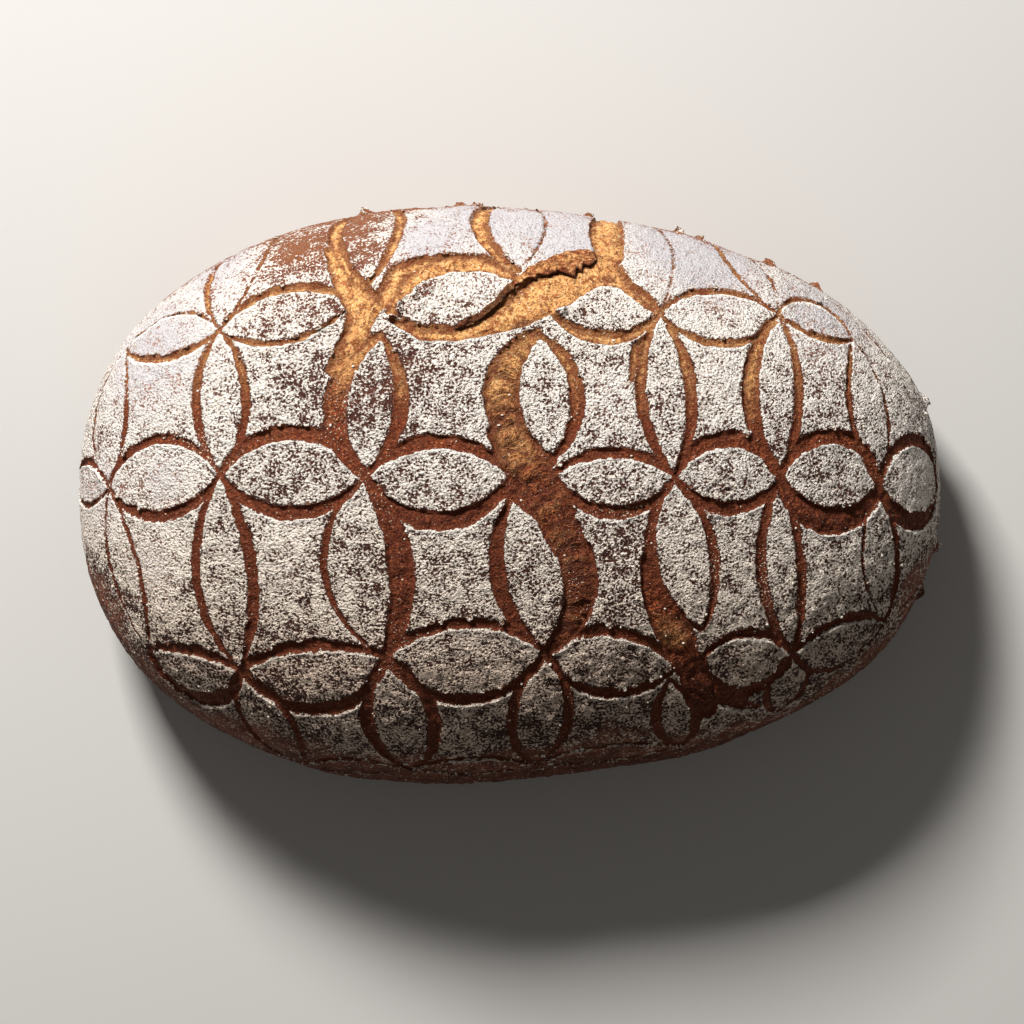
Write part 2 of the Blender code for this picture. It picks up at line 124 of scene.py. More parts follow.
# How finely the distances along the crust are measured
CRUST_SAMPLES = 601
PLAN_ROWS = 40
DISTANCE_COLUMNS = 700
LONGEST_CRUST = 250 * MM
DIRECTION_REACH = 0.5 * MM

# The random heights repeat after this many cells, and start off the middle
WOBBLE_CELLS = 64
WOBBLE_START = 1000.0

# Where the circles cross, in millimetres on the sheet. The letters are the rows
# from the far side to the near side, the numbers run from left to right.
# A crossing that has been pulled apart has one point for each tip round it.
CROSSINGS = {
    "D1": (-108, 120), "D2": (-62, 132), "D3": (3, 134), "D4": (57, 130), "D5": (98, 118),
    "A0": (-141, 53), "A1": (-98, 55), "A4": (50, 60), "A5": (93, 62), "A6": (121, 54),
    "A2 left": (-52, 63), "A2 up": (-48, 69), "A2 right": (-39, 60), "A2 down": (-42, 51),
    "A3 left": (2, 73), "A3 up": (3, 76), "A3 right": (14, 59), "A3 down": (9, 52),
    "B left": (-172, 6), "B0": (-139, 2), "B1": (-94, 6), "B2": (-46, 5),
    "B3 left": (1, 5), "B3 up": (13, 10), "B3 right": (14, 6), "B3 down": (1, -1),
    "B4": (53, 5), "B5": (88, 5), "B6": (125, 2), "B right": (163, 2),
    "C0": (-127, -55), "C1": (-91, -60), "C2": (-40, -53), "C3": (12, -52),
    "C4 left": (55, -58), "C4 up": (63, -45), "C4 right": (64, -54), "C4 down": (54, -63),
    "C5": (96, -55), "C6": (135, -46),
    "E1": (-83, -107), "E2": (-37, -103), "E3": (9, -104), "E4": (65, -95), "E5": (100, -82),
}

# Petals between two crossings. Each has two cuts: how far the cut swings out
# from the straight line, and how wide it has opened, in millimetres.
# Lying petals run left to right and give the far cut first.
LYING_PETALS = [
    ("D2", "D3", 5, 1.5, 6, 2.4), ("D3", "D4", 5, 1.5, 5, 2.0), ("D4", "D5", 5, 1.5, 5, 2.2),
    ("A0", "A1", 10, 1.4, 8, 3.4), ("A1", "A2 left", 10.5, 3.8, 9.3, 2.4),
    ("A2 right", "A3 left", 12.8, 9.2, 13, 2.6), ("A3 right", "A4", 13, 5.0, 8.6, 5.2),
    ("A4", "A5", 9.3, 3.5, 11.8, 3.3), ("A5", "A6", 12.3, 3.0, 4.5, 3.4),
    ("B left", "B0", 8, 3.4, 8, 2.8), ("B0", "B1", 14, 3.7, 11.6, 4.6),
    ("B1", "B2", 14, 6.0, 12, 5.2), ("B2", "B3 left", 11.3, 5.4, 14, 6.8),
    ("B3 right", "B4", 7.4, 4.4, 11.8, 5.0), ("B4", "B5", 12.3, 5.8, 10, 5.0),
    ("B5", "B6", 15.2, 5.8, 12.8, 9.6), ("B6", "B right", 17, 5.4, 12.0, 7.2),
    ("C0", "C1", 4.4, 4.2, 16, 7.0), ("C1", "C2", 6.4, 4.4, 17, 5.5), ("C2", "C3", 10.6, 4.2, 17, 4.6),
    ("C3", "C4 left", 10.2, 4.4, 12.8, 4.4), ("C4 right", "C5", 8.2, 3.8, 14, 5.0),
    ("C5", "C6", 7.4, 4.0, 13, 2.8),
    ("E1", "E2", 7, 2.0, 5, 1.2), ("E2", "E3", 7, 2.2, 5, 1.2), ("E3", "E4", 7, 2.0, 5, 1.2),
]
# Standing petals run from the far side to the near side, left cut first.
STANDING_PETALS = [
    ("D1", "A1", 9, 3.6, 14, 1.5), ("D2", "A2 up", 10, 6.0, 14.3, 4.6),
    ("D3", "A3 up", 14.3, 7.4, 10.8, 1.5), ("D4", "A4", 20, 8.0, 7, 1.4), ("D5", "A5", 14.3, 2.7, 1.6, 1.4),
    ("A0", "B0", 12, 1.2, 8, 2.0), ("A1", "B1", 7.6, 3.6, 10, 3.2),
    ("A2 down", "B2", 12, 7.8, 9.4, 5.0), ("A3 down", "B3 up", 13.6, 11.6, 11, 5.2),
    ("A4", "B4", 9.2, 4.0, 7.2, 4.2), ("A5", "B5", 12.3, 6.0, 4.7, 3.4), ("A6", "B6", 9.2, 2.7, 7, 1.6),
    ("B0", "C0", 7, 1.7, 7.2, 2.2), ("B1", "C1", 10.6, 3.3, 9, 4.2), ("B2", "C2", 16.3, 2.4, 8.6, 8.6),
    ("B3 down", "C3", 10, 5.4, 16, 11.4), ("B4", "C4 up", 12.9, 4.5, 7.8, 3.8),
    ("B5", "C5", 10, 4.0, 4, 3.4), ("B6", "C6", 11, 1.2, 5, 3.2),
    ("C1", "E1", 8, 2.2, 12, 3.4), ("C2", "E2", 9.6, 5.0, 13, 4.7), ("C3", "E3", 9.6, 3.8, 10, 3.8),
    ("C4 down", "E4", 8, 4.0, 6, 4.0), ("C5", "E5", 8, 3.0, 8, 2.4),
]

# Places where the crust has torn open: x, y and half the opening, in millimetres
TEARS = {
    "far": [(-38, 56, 1.0), (-29, 52, 2.5), (-18, 52, 3.0), (-6, 56, 4.5), (4, 61, 6.5), (12, 67, 8.5),
            (20, 72, 7.5), (29, 76, 5.5), (36, 85, 5.0), (38, 99, 6.0), (44, 127, 5.5)],
    "middle": [(-2, 19, 5.0), (2, 11, 6.0), (7, 5, 7.0), (11, -1, 7.0), (15, -8, 6.5), (18.5, -16, 6.0)],
    "near": [(44, -21, 2.5), (45, -31, 3.2), (49, -40, 4.7), (55, -48, 6.2), (59, -57, 4.5),
             (65, -67, 6.0), (69, -76, 3.5)],
    "near branch": [(64, -64, 5.0), (74, -70, 4.0), (88, -76, 1.5)],
    "left": [(-63, 86, 2.5), (-55, 70, 4.5), (-48, 62, 6.5), (-50, 53, 4.5), (-56, 40, 3.5)],
    "left branch": [(-41, 64, 3.5), (-38, 75, 3.3), (-29, 80, 2.6)],
    "right edge, far": [(130, 64, 0.6), (134, 57, 0.8), (141, 48, 0.6)],
    "right edge, near": [(174, -12, 0.8), (172, -24, 0.9), (162, -34, 0.9), (146, -42, 0.9)],
    "strip beside the middle petal": [(15, 50, 0.5), (19.5, 43, 0.9), (24, 36, 0.7)],
    "strip on the fourth petal": [(47, 53, 0.6), (41, 47, 1.4), (40, 42, 1.4), (39, 36, 0.8),
                                  (37.6, 33.5, 0.4)],
}
EAR_LINE = [(-18, 54), (-10, 58), (-4, 64), (1, 71), (7, 76), (14, 79), (23, 83), (31, 84)]
EAR_HALF_WIDTH = [0.35, 0.5, 0.6, 0.8, 1.5, 2.8, 3.2, 2.6]
FLAKES = [(-59, 115), (-23, 134), (-15, 134), (37, 129), (78, 119), (86, 115), (114, 101),
          (131, 89), (169, 38), (172, -21), (167, -40)]
FLAKE_HEIGHT = 2.0 * MM
FLAKE_LENGTH = 4.2 * MM
FLAKE_WIDTH = 1.5 * MM

# Where the flour lies thin or has rubbed off: x, y, how far it reaches and how much is gone
THIN_FLOUR = [(-67, 71, 13, 0.36), (-44, 32, 17, 0.28), (-30, 42, 12, 0.22),
              (-76, 90, 18, 0.84), (-60, 103, 17, 0.84), (-66, 35, 10, 0.25), (-57, 24, 9, 0.25),
              (-50, 86, 10, 0.6), (-22, -20, 14, 0.05), (32, -24, 15, 0.3), (8, 30, 10, 0.06),
              (-54, -20, 10, 0.16), (-34, -34, 12, 0.1), (-92, 99, 8, 0.8), (-77, 111, 8, 0.9),
              (32, -86, 14, 0.25), (-150, -42, 18, 0.25), (150, -32, 14, 0.25),
              (-61, 119, 8, 0.9), (-45, 125, 8, 0.9), (-29, 130, 7, 0.6)]
# Where it lies as a thick smooth powder
THICK_FLOUR = [(-30, 92, 22, 0.9), (20, 100, 26, 1.0), (70, 95, 34, 1.0), (-125, 52, 34, 0.75),
               (-145, 0, 24, 0.6), (-105, 92, 34, 0.8), (112, 66, 30, 0.7), (0, 120, 50, 0.9),
               (-117, -8, 14, 0.45), (72, 38, 14, 0.35), (-70, -22, 15, 0.3), (33, 30, 14, 0.35),
               (146, 4, 14, 0.35), (-115, 4, 14, 0.6), (-122, -25, 15, 0.6), (-98, -32, 12, 0.3)]
# Where the skin of a petal has flaked and stands up in crags
FLAKED = [(-33, 68, 7, 1.0), (-37, 60, 5, 1.0), (17, 61, 6, 0.9), (-25, 60, 6, 0.4), (28, 63, 7, 0.5),
          (68, -2, 7, 0.5), (40, 1, 7, 0.4), (-8, -5, 8, 0.3)]
# Where the opened crumb is paler than its row
PALE_CRUMB = [(-8, 38, 12, 0.4), (2, 14, 10, 0.6), (53, -44, 11, 1.0), (8, -10, 9, 0.3)]
# Where flour has sprinkled into the cuts
SPRINKLED = [(68, -26, 12, 1.0), (86, -30, 14, 1.0), (-100, 14, 12, 1.0), (-78, -28, 12, 0.6),
             (-52, 26, 12, 0.7), (-46, 0, 10, 0.7), (36, -6, 12, 0.7), (14, -30, 10, 0.8),
             (-30, -50, 12, 0.6)]
# How steeply the patches of these five tables fall off, and how high they start
PATCH_FALL = 0.9
PATCH_PEAK = 1.15
# The side is bare of flour below these heights, in millimetres: all round, and more on two sides
SIDE_BAND = 26
NEAR_SIDE_BAND = 43
FAR_SIDE_BAND = 24
SIDE_BAND_LENGTH = 231.84
SIDE_BAND_EDGE = 16
# How much of the skin is floured: as a rule, and more or less of it in some places
FLOUR_COVER = 0.71
MORE_WHERE_THICK = 0.17
LESS_WHERE_THIN = 0.8
LESS_ON_NEAR_SIDE = 0.29
LESS_ON_CRAGS = 0.16


# The body and the sheet that is laid over it

def plan_radius(angle):
    """How far the widest line of the loaf is from the middle, in one direction."""
    turned = angle - PLAN_TURN
    along = np.abs(np.cos(turned) / HALF_LENGTH) ** PLAN_POWER
    across = np.abs(np.sin(turned) / HALF_WIDTH) ** PLAN_POWER
    oval = (along + across) ** (-1 / PLAN_POWER)
    shift = PLAN_SHIFT_X * np.cos(angle) + PLAN_SHIFT_Y * np.sin(angle)
    return oval * (1 + shift + PLAN_THIRD * np.cos(3 * angle))


def crust_line(step):
    """Share of the radius and height: step 0 at the top, 1 at the widest line, 2 at the base."""
    over = np.clip(step, 0, 1) * math.pi / 2
    under = np.clip(step - 1, 0, 1) * math.pi / 2
    dome_share = np.sin(over) ** (2 / DOME_POWER)
    dome_height = (HEIGHT - WIDEST_HEIGHT) * np.clip(np.cos(over), 0, 1) ** (2 / DOME_POWER)
    tuck_share = (1 - BASE_SHARE) * (1 - np.clip(np.cos(under), 0, 1) ** (2 / TUCK_POWER))
    tuck_height = WIDEST_HEIGHT * np.sin(under) ** (2 / TUCK_POWER)
    return dome_share - tuck_share, WIDEST_HEIGHT + dome_height - tuck_height


def measure_crust():
    """For a row of plan radii, the step reached after each distance along the crust."""
    steps = np.linspace(0, 2, CRUST_SAMPLES)
    share, height = crust_line(steps)
    radii = np.linspace(0.9 * HALF_WIDTH, 1.1 * HALF_LENGTH, PLAN_ROWS)
    distances = np.linspace(0, LONGEST_CRUST, DISTANCE_COLUMNS)
    table = []
    lengths = []
    for radius in radii:
        run = np.hypot(np.diff(share * radius), np.diff(height))
        length = np.concatenate([[0], np.cumsum(run)])
        table.append(np.interp(distances, length, steps))
        lengths.append(length[-1])
    return radii, distances, np.array(table), np.array(lengths)


RADII, DISTANCES, STEP_TABLE, CRUST_LENGTHS = measure_crust()


def sheet_edge(angle):
    """Distance from the middle of the sheet to the edge of the base."""
    return np.interp(plan_radius(angle), RADII, CRUST_LENGTHS)


def inside_edge(points):
    """How far points of the sheet are inside the edge of the base."""
    return sheet_edge(np.arctan2(points[:, 1], points[:, 0])) - np.hypot(points[:, 0], points[:, 1])


def blend(first, second, share):
    return first * (1 - share) + second * share


def unit(vectors):
    return vectors / np.linalg.norm(vectors, axis=1, keepdims=True)


def lay_on_body(points):
    """Places on the smooth body for points of the sheet."""
    angle = np.arctan2(points[:, 1], points[:, 0])
    distance = np.hypot(points[:, 0], points[:, 1])
    radius = plan_radius(angle)
    row = (radius - RADII[0]) / (RADII[1] - RADII[0])
    column = np.clip(distance / (DISTANCES[1] - DISTANCES[0]), 0, len(DISTANCES) - 1.001)
    low_row = np.floor(row).astype(int)
    low_column = np.floor(column).astype(int)
    along = column - low_column
    near = blend(STEP_TABLE[low_row, low_column], STEP_TABLE[low_row, low_column + 1], along)
    far = blend(STEP_TABLE[low_row + 1, low_column], STEP_TABLE[low_row + 1, low_column + 1], along)
    share, height = crust_line(blend(near, far, row - low_row))
    return np.stack([share * radius * np.cos(angle), share * radius * np.sin(angle), height], axis=1)


def body_directions(points):
    """The sheet's two directions and the outward normal, as they lie on the body."""
    x_step = [DIRECTION_REACH, 0]
    y_step = [0, DIRECTION_REACH]
    right = unit(lay_on_body(points + x_step) - lay_on_body(points - x_step))
    away = unit(lay_on_body(points + y_step) - lay_on_body(points - y_step))
    return right, away, unit(np.cross(right, away))


def wobble(points, size, seed):
    """Smooth random heights between -1 and 1 over the sheet."""
    heights = np.random.default_rng(seed).uniform(-1, 1, (WOBBLE_CELLS, WOBBLE_CELLS))
    places = points / size + WOBBLE_START
    cell = np.floor(places).astype(int)
    part = places - cell
    part = part * part * (3 - 2 * part)
    left, low = (cell % WOBBLE_CELLS).T
    right, high = ((cell + 1) % WOBBLE_CELLS).T
    near = blend(heights[left, low], heights[right, low], part[:, 0])
    far = blend(heights[left, high], heights[right, high], part[:, 0])
    return blend(near, far, part[:, 1])


def lumps(points):
    """The broad lumps of the body, which every piece on it follows."""
    return LUMP_HEIGHT * (wobble(points, LUMP_SIZE, 7) + 0.4 * wobble(points, LUMP_SIZE / 2, 8))


def patches(points, table):
    """How much of some round patches lies over each point, 0 to 1."""
    total = np.zeros(len(points))
    for x, y, reach, amount in table:
        away = np.hypot(points[:, 0] / MM - x, points[:, 1] / MM - y) / reach
        total = np.maximum(total, amount * PATCH_PEAK * np.exp(-away ** 2 * PATCH_FALL))
    return np.clip(total, 0, 1)


# The cuts and tears

def swung_line(start, end, swing, count=17):
    """Points on the round arc from start to end that swings out to one side."""
    start = np.array(start, float)
    end = np.array(end, float)
    chord = end - start
    length = np.hypot(*chord)
    side = np.array([-chord[1], chord[0]]) / length
    radius = (length * length / 4 + swing * swing) / (2 * abs(swing))
    half_angle = math.asin(min(1, length / (2 * radius)))
    turn = np.linspace(-half_angle, half_angle, count)
    along = length / 2 + radius * np.sin(turn)
    out = radius * (np.cos(turn) - math.cos(half_angle)) * math.copysign(1, swing)
    return start + np.outer(along / length, chord) + np.outer(out, side)


def opening(width, count=17):
    """Half the width along a cut, widest at the middle."""
    along = np.linspace(0, 1, count)
    return width / 2 * (TIP_WIDTH_SHARE + (1 - TIP_WIDTH_SHARE) * np.sin(math.pi * along) ** 0.8)


def draw_cuts():
    """Every cut and tear as a line of points with half its width at each point."""
    cuts = []
    for petals, first_side in ((LYING_PETALS, 1), (STANDING_PETALS, -1)):
        for start, end, first_swing, first_width, second_swing, second_width in petals:
            for swing, width in ((first_swing, first_width), (-second_swing, second_width)):
                line = swung_line(CROSSINGS[start], CROSSINGS[end], first_side * swing)
                cuts.append((line * MM, opening(width) * MM))
    for tear in TEARS.values():
        table = np.array(tear, float) * MM
        cuts.append((table[:, :2], table[:, 2]))
    return cuts


def nearest_on_line(points, line, half_width):
    """Distance from a stroke's edge, half its width there, the side, and the run along it."""
    best = np.full(len(points), np.inf)
    width = np.zeros(len(points))
    run = np.zeros(len(points))
    side = np.zeros((len(points), 2))
    length = 0.0
    for start, end, start_width, end_width in zip(line, line[1:], half_width, half_width[1:]):
        step = end - start
        share = np.clip(((points - start) @ step) / (step @ step), 0, 1)
        here = start_width + (end_width - start_width) * share
        offset = points - start - share[:, None] * step
        reach = np.hypot(offset[:, 0], offset[:, 1])
        away = reach - here
        nearer = away < best
        best[nearer] = away[nearer]
        width[nearer] = here[nearer]
        run[nearer] = length + share[nearer] * np.hypot(*step)
        side[nearer] = offset[nearer] / np.maximum(reach[nearer], 0.01 * MM)[:, None]
        length += np.hypot(*step)
    return best, width, side, run


CUTS = draw_cuts()
EAR = (np.array(EAR_LINE, float) * MM, np.array(EAR_HALF_WIDTH) * MM)


def wrinkled_tear():
    """The long bent tear through the middle, as one stroke from the far to the near end."""
    far = swung_line(CROSSINGS["A3 down"], CROSSINGS["B3 up"], -13.6)[1:14:2]
    near = swung_line(CROSSINGS["B3 down"], CROSSINGS["C3"], 16)[5:16:2]
    middle = np.array(TEARS["middle"], float)[1:4, :2]
    line = np.concatenate([far, middle, near])
    return line * MM, np.full(len(line), WRINKLED_WIDTH)


WRINKLED = wrinkled_tear()


def cut_field(points):
    """Distance to the nearest rim (minus inside a cut), the floor, half width and side."""
    rag = RIM_RAGGEDNESS * (wobble(points, RAG_SIZE, 3) + 0.6 * wobble(points, RAG_SIZE / 2, 4))
    worn = np.clip(wobble(points, WORN_SIZE, WORN_SEED) * 1.6, 0, 1)
    rag = rag + FINE_RAG * worn * wobble(points, FINE_RAG_SIZE, 12)
    near = 1 + NEAR_RAG * np.clip((-points[:, 1] - NEAR_START) / NEAR_SPREAD, 0, 1)
    torn_rag = TORN_RAG * np.abs(wobble(points, TORN_RAG_SIZE, 13)) * (0.4 + 0.6 * worn) * near
    distance = np.full(len(points), FIELD_REACH)
    floor = np.zeros(len(points))
    half = np.zeros(len(points))
    sides = np.zeros((len(points), 2))
    for line, half_width in CUTS:
        margin = FIELD_REACH + half_width.max()
        inside = np.all((points > line.min(axis=0) - margin) & (points < line.max(axis=0) + margin), axis=1)
        if not inside.any():
            continue
        away, width, side = nearest_on_line(points[inside], line, half_width)[:3]
        away = away + rag[inside] - torn_rag[inside] * np.clip(side[:, 1] * 1.5 - 0.5, 0, 1)
        depth = np.minimum(SHALLOW_DEPTH + DEPTH_PER_WIDTH * width * 2, DEEPEST_CUT)
        wall = np.minimum(WALL_WIDTH, 0.8 * width)
        fall = np.clip(-away / wall, 0, 1)
        inward = np.clip((-away - wall) / np.maximum(width - wall, MM), 0, 1)
        swell = np.clip(width / TEAR_HALF_WIDTH - 0.6, 0, 1) * TEAR_SWELL * depth
        height = -depth * fall + swell * np.sin(inward * math.pi / 2)
        floor[inside] = np.minimum(floor[inside], height)
        nearer = away < distance[inside]
        places = np.flatnonzero(inside)[nearer]
        distance[places] = away[nearer]
        half[places] = width[nearer]
        sides[places] = side[nearer]
    return distance, floor, half, sides


def wrinkles(points):
    """Crosswise strands on the floor of the wrinkled tear, where they are, and its own directions."""
    away, width, side, run = nearest_on_line(points, *WRINKLED)
    across = (away + width) * np.sign(side[:, 0] + 0.3 * side[:, 1])
    bow = across * across / WRINKLE_BOW
    warp = WRINKLE_WARP * wobble(points, 5 * MM, 21)
    drawn = np.stack([(run - bow + warp) / WRINKLE_SPACING, across / WRINKLE_LENGTH], axis=1)
    strand = 1 - np.abs(wobble(drawn, 1, 22)) * 2.4
    fine = 1 - np.abs(wobble(drawn * [2.7, 2.0], 1, 23)) * 2
    reach = np.clip(1.2 - away / (1.5 * MM), 0, 1)
    flow = np.stack([run - bow, across, np.zeros(len(points))], axis=1)
    return reach * (np.clip(strand, -0.6, 1) + 0.35 * fine), reach, flow


def rims(points, distance, side):
    """The lips and the soft swell of the skin beside the cuts, and how far the rims lean over them."""
    away = np.maximum(distance, 0)
    by_cut = distance < FIELD_REACH * 0.9
    upper = np.clip(side[:, 1] * 1.4, 0, 1) * by_cut
    lower = np.clip(-side[:, 1] * 1.3, 0, 1) * by_cut
    curl = np.clip(0.55 + 0.8 * wobble(points, CURL_SIZE, 5), 0, 1.3)
    lip = LIP_HEIGHT * (curl + 0.8 * upper * (0.6 + 0.6 * wobble(points, 4 * MM, 14)))
    swell = (lip * np.exp(-away / LIP_REACH) + BEAD_HEIGHT * lower * np.exp(-away / BEAD_REACH)
             + PUFF_HEIGHT * (1 - np.exp(-away / PUFF_REACH)))
    hang = OVERHANG * upper * np.clip(0.5 + wobble(points, OVERHANG_RAG, 19), 0, 1.2)
    hang = hang * np.clip(1 - away / OVERHANG_REACH, 0, 1) * np.clip(1 + distance / (0.25 * MM), 0, 1)
    return np.clip(1 + distance / RIM_SOFTNESS, 0, 1) * swell, -side * hang[:, None]


def flakes(points):
    """The flakes that stand out along the outline."""
    height = np.zeros(len(points))
    tatter = 1 + 0.3 * wobble(points, 3 * MM, 6)
    for place in FLAKES:
        centre = np.array(place, float) * MM
        out = centre / np.hypot(*centre)
        offset = points - centre
        along = offset @ np.array([-out[1], out[0]]) / FLAKE_LENGTH
        across = offset @ out / FLAKE_WIDTH
        height = height + FLAKE_HEIGHT * np.exp(-2 * (along ** 2 + across ** 2)) * tatter
    return height


def relief(points):
    """How far the crust stands out from the smooth body, how far it leans, and its masks."""
    distance, floor, half, side = cut_field(points)
    swell, lean = rims(points, distance, side)
    ear_distance, ear_width = nearest_on_line(points, *EAR)[:2]
    ear = np.clip(-ear_distance / np.maximum(ear_width, MM), 0, 1) ** 0.6
    height = (floor + swell) * (1 - ear) + flakes(points) + lumps(points)

    inside = np.clip(-distance / FLOOR_EDGE, 0, 1)
    rumple = RUMPLE_HEIGHT * wobble(points, RUMPLE_SIZE, 15) + GRAIN_HEIGHT * wobble(points, GRAIN_SIZE, 16)
    skin = rumple * (SKIN_ROUGHNESS - HIDDEN_BY_FLOUR * patches(points, THICK_FLOUR))
    crags = np.abs(wobble(points, CRAG_SIZE, 26)) + 0.6 * np.abs(wobble(points, FINE_CRAG_SIZE, 27)) - 0.3
    skin = skin + CRAG_HEIGHT * patches(points, FLAKED) * crags
    wide = 0.55 + 0.75 * np.clip(half / (4 * MM), 0, 1)
    crumb = sum(share * wobble(points, size, seed) for size, share, seed in CRUMB_SIZES)
    torn, strand, flow = wrinkles(points)
    height = height + (1 - inside) * skin + inside * (FLOOR_GRAIN * wide * crumb + WRINKLE_HEIGHT * torn)
    masks = {"rim": distance / MM, "lit": -side[:, 1], "torn": torn * inside, "strand": strand * inside}
    return height, lean, masks, side, flow


# Modelling helpers

def read(items, name, width, kind=np.float32):
    """A mesh's own list of numbers, as rows."""
    values = np.empty(len(items) * width, kind)
    items.foreach_get(name, values)
    return values.reshape(-1, width)


def points_of(thing):
    return read(thing.data.vertices, "co", 3).astype(float)


def place_points(thing, places):
    thing.data.vertices.foreach_set("co", places.astype(np.float32).ravel())
    thing.data.update()


def select_only(thing):
    bpy.ops.object.select_all(action="DESELECT")
    thing.select_set(True)
    bpy.context.view_layer.objects.active = thing


def select_vertices(thing, wanted):
    """Selects vertices by a list of true and false, with everything else left out."""
    mesh = thing.data
    mesh.polygons.foreach_set("select", np.zeros(len(mesh.polygons), bool))
    mesh.edges.foreach_set("select", np.zeros(len(mesh.edges), bool))
    mesh.vertices.foreach_set("select", np.asarray(wanted, bool))


def faces_of(mesh, corners):
    """The vertices of each face, where every face has the same number of corners."""
    return read(mesh.loops, "vertex_index", 1, np.int64).reshape(-1, corners)


def named(name):
    """The primitive that was added last, with its name."""
    piece = bpy.context.object
    piece.name = name
    piece.data.name = name
    return piece


def in_edit_mode(thing, mode="VERT", whole=False):
    select_only(thing)
    bpy.ops.object.mode_set(mode="EDIT")
    bpy.ops.mesh.select_mode(type=mode)
    if whole:
        bpy.ops.mesh.select_all(action="SELECT")


def write_mask(thing, name, values):
    """Keeps one number for each vertex, for the materials to read."""
    layer = thing.data.attributes.new(name, "FLOAT", "POINT")
    layer.data.foreach_set("value", np.asarray(values, np.float32))


def finish_shell(thing, angle, thickness=0):
    """Turns the faces outwards, gives a thin skin its thickness, and smooths the shading."""
    in_edit_mode(thing, "FACE", whole=True)
    bpy.ops.mesh.normals_make_consistent(inside=False)
    bpy.ops.object.mode_set(mode="OBJECT")
    if thickness and read(thing.data.polygons, "normal", 3)[:, 2].mean() < 0:
        in_edit_mode(thing, "FACE", whole=True)
        bpy.ops.mesh.flip_normals()
        bpy.ops.object.mode_set(mode="OBJECT")
    if thickness:
        wall = thing.modifiers.new("wall", "SOLIDIFY")
        wall.thickness = thickness
        wall.offset = -1
        bpy.ops.object.modifier_apply(modifier="wall")
    bpy.ops.object.shade_smooth_by_angle(angle=math.radians(angle))


def copies_mesh(thing, places, faces):
    """Gives a piece the mesh of all its copies: places by copy, and the faces of one copy."""
    first = np.arange(len(places)) * places.shape[1]
    shifted = faces[None] + first[:, None, None]
    mesh = bpy.data.meshes.new(thing.name)
    mesh.from_pydata(places.reshape(-1, 3).tolist(), [], shifted.reshape(-1, faces.shape[1]).tolist())
    thing.data = mesh


def snap_to_level(thing, level, most):
    """Pulls the vertices beside a line of the sheet onto that line."""
    pairs = read(thing.data.edges, "vertices", 2, np.int64)
    places = points_of(thing)
    points = places[:, :2]
    values = level(points)
    ends = values[pairs]
    crossing = (ends[:, 0] > 0) != (ends[:, 1] > 0)
    nearer = np.where(np.abs(ends[:, 0]) < np.abs(ends[:, 1]), pairs[:, 0], pairs[:, 1])[crossing]
    chosen = np.unique(nearer)
    moved = points[chosen]
    reach = 0.05 * MM
    for _ in range(2):
        here = level(moved)
        slope_x = (level(moved + [reach, 0]) - level(moved - [reach, 0])) / (2 * reach)
        slope_y = (level(moved + [0, reach]) - level(moved - [0, reach])) / (2 * reach)
        steepness = np.maximum(slope_x ** 2 + slope_y ** 2, 0.2)
        moved = moved - np.stack([slope_x, slope_y], axis=1) * (here / steepness)[:, None]
    shift = moved - points[chosen]
    length = np.hypot(shift[:, 0], shift[:, 1])
    places[chosen, :2] = points[chosen] + shift * np.minimum(1, most / np.maximum(length, 1e-9))[:, None]
    place_points(thing, places)


# The crust

def flat_sheet():
    """A fine flat sheet of triangles, trimmed to the edge of the base."""
    half_x = sheet_edge(np.array([0.0, math.pi])).max() + 2 * SHEET_STEP
    half_y = sheet_edge(np.array([math.pi / 2, -math.pi / 2])).max() + 2 * SHEET_STEP
    columns = int(2 * half_x / SHEET_STEP)
    rows = int(2 * half_y / ROW_STEP)
    bpy.ops.object.select_all(action="DESELECT")
    bpy.ops.mesh.primitive_grid_add(x_subdivisions=columns, y_subdivisions=rows, size=1)
    sheet = named("crust_middle")
    bpy.ops.object.mode_set(mode="EDIT")
    bpy.ops.transform.resize(value=(columns * SHEET_STEP, rows * ROW_STEP, 1))
    bpy.ops.object.mode_set(mode="OBJECT")
    row = np.rint(points_of(sheet)[:, 1] / ROW_STEP + rows / 2).astype(int)
    select_vertices(sheet, row % 2 == 1)
    in_edit_mode(sheet)
    bpy.ops.transform.translate(value=(SHEET_STEP / 2, 0, 0))
    bpy.ops.mesh.select_all(action="SELECT")
    bpy.ops.mesh.quads_convert_to_tris(quad_method="SHORTEST_DIAGONAL")
    bpy.ops.object.mode_set(mode="OBJECT")
    snap_to_level(sheet, inside_edge, SHEET_STEP)
    select_vertices(sheet, inside_edge(points_of(sheet)[:, :2]) < -0.02 * MM)
    in_edit_mode(sheet)
    bpy.ops.mesh.delete(type="VERT")
    bpy.ops.object.mode_set(mode="OBJECT")
    snap_to_level(sheet, lambda points: cut_field(points)[0], 0.45 * SHEET_STEP)
    return sheet


def write_places(thing, name, places):
    """Keeps one place for each vertex, for the materials to read."""
    layer = thing.data.attributes.new(name, "FLOAT_VECTOR", "POINT")
    layer.data.foreach_set("vector", places.astype(np.float32).ravel())


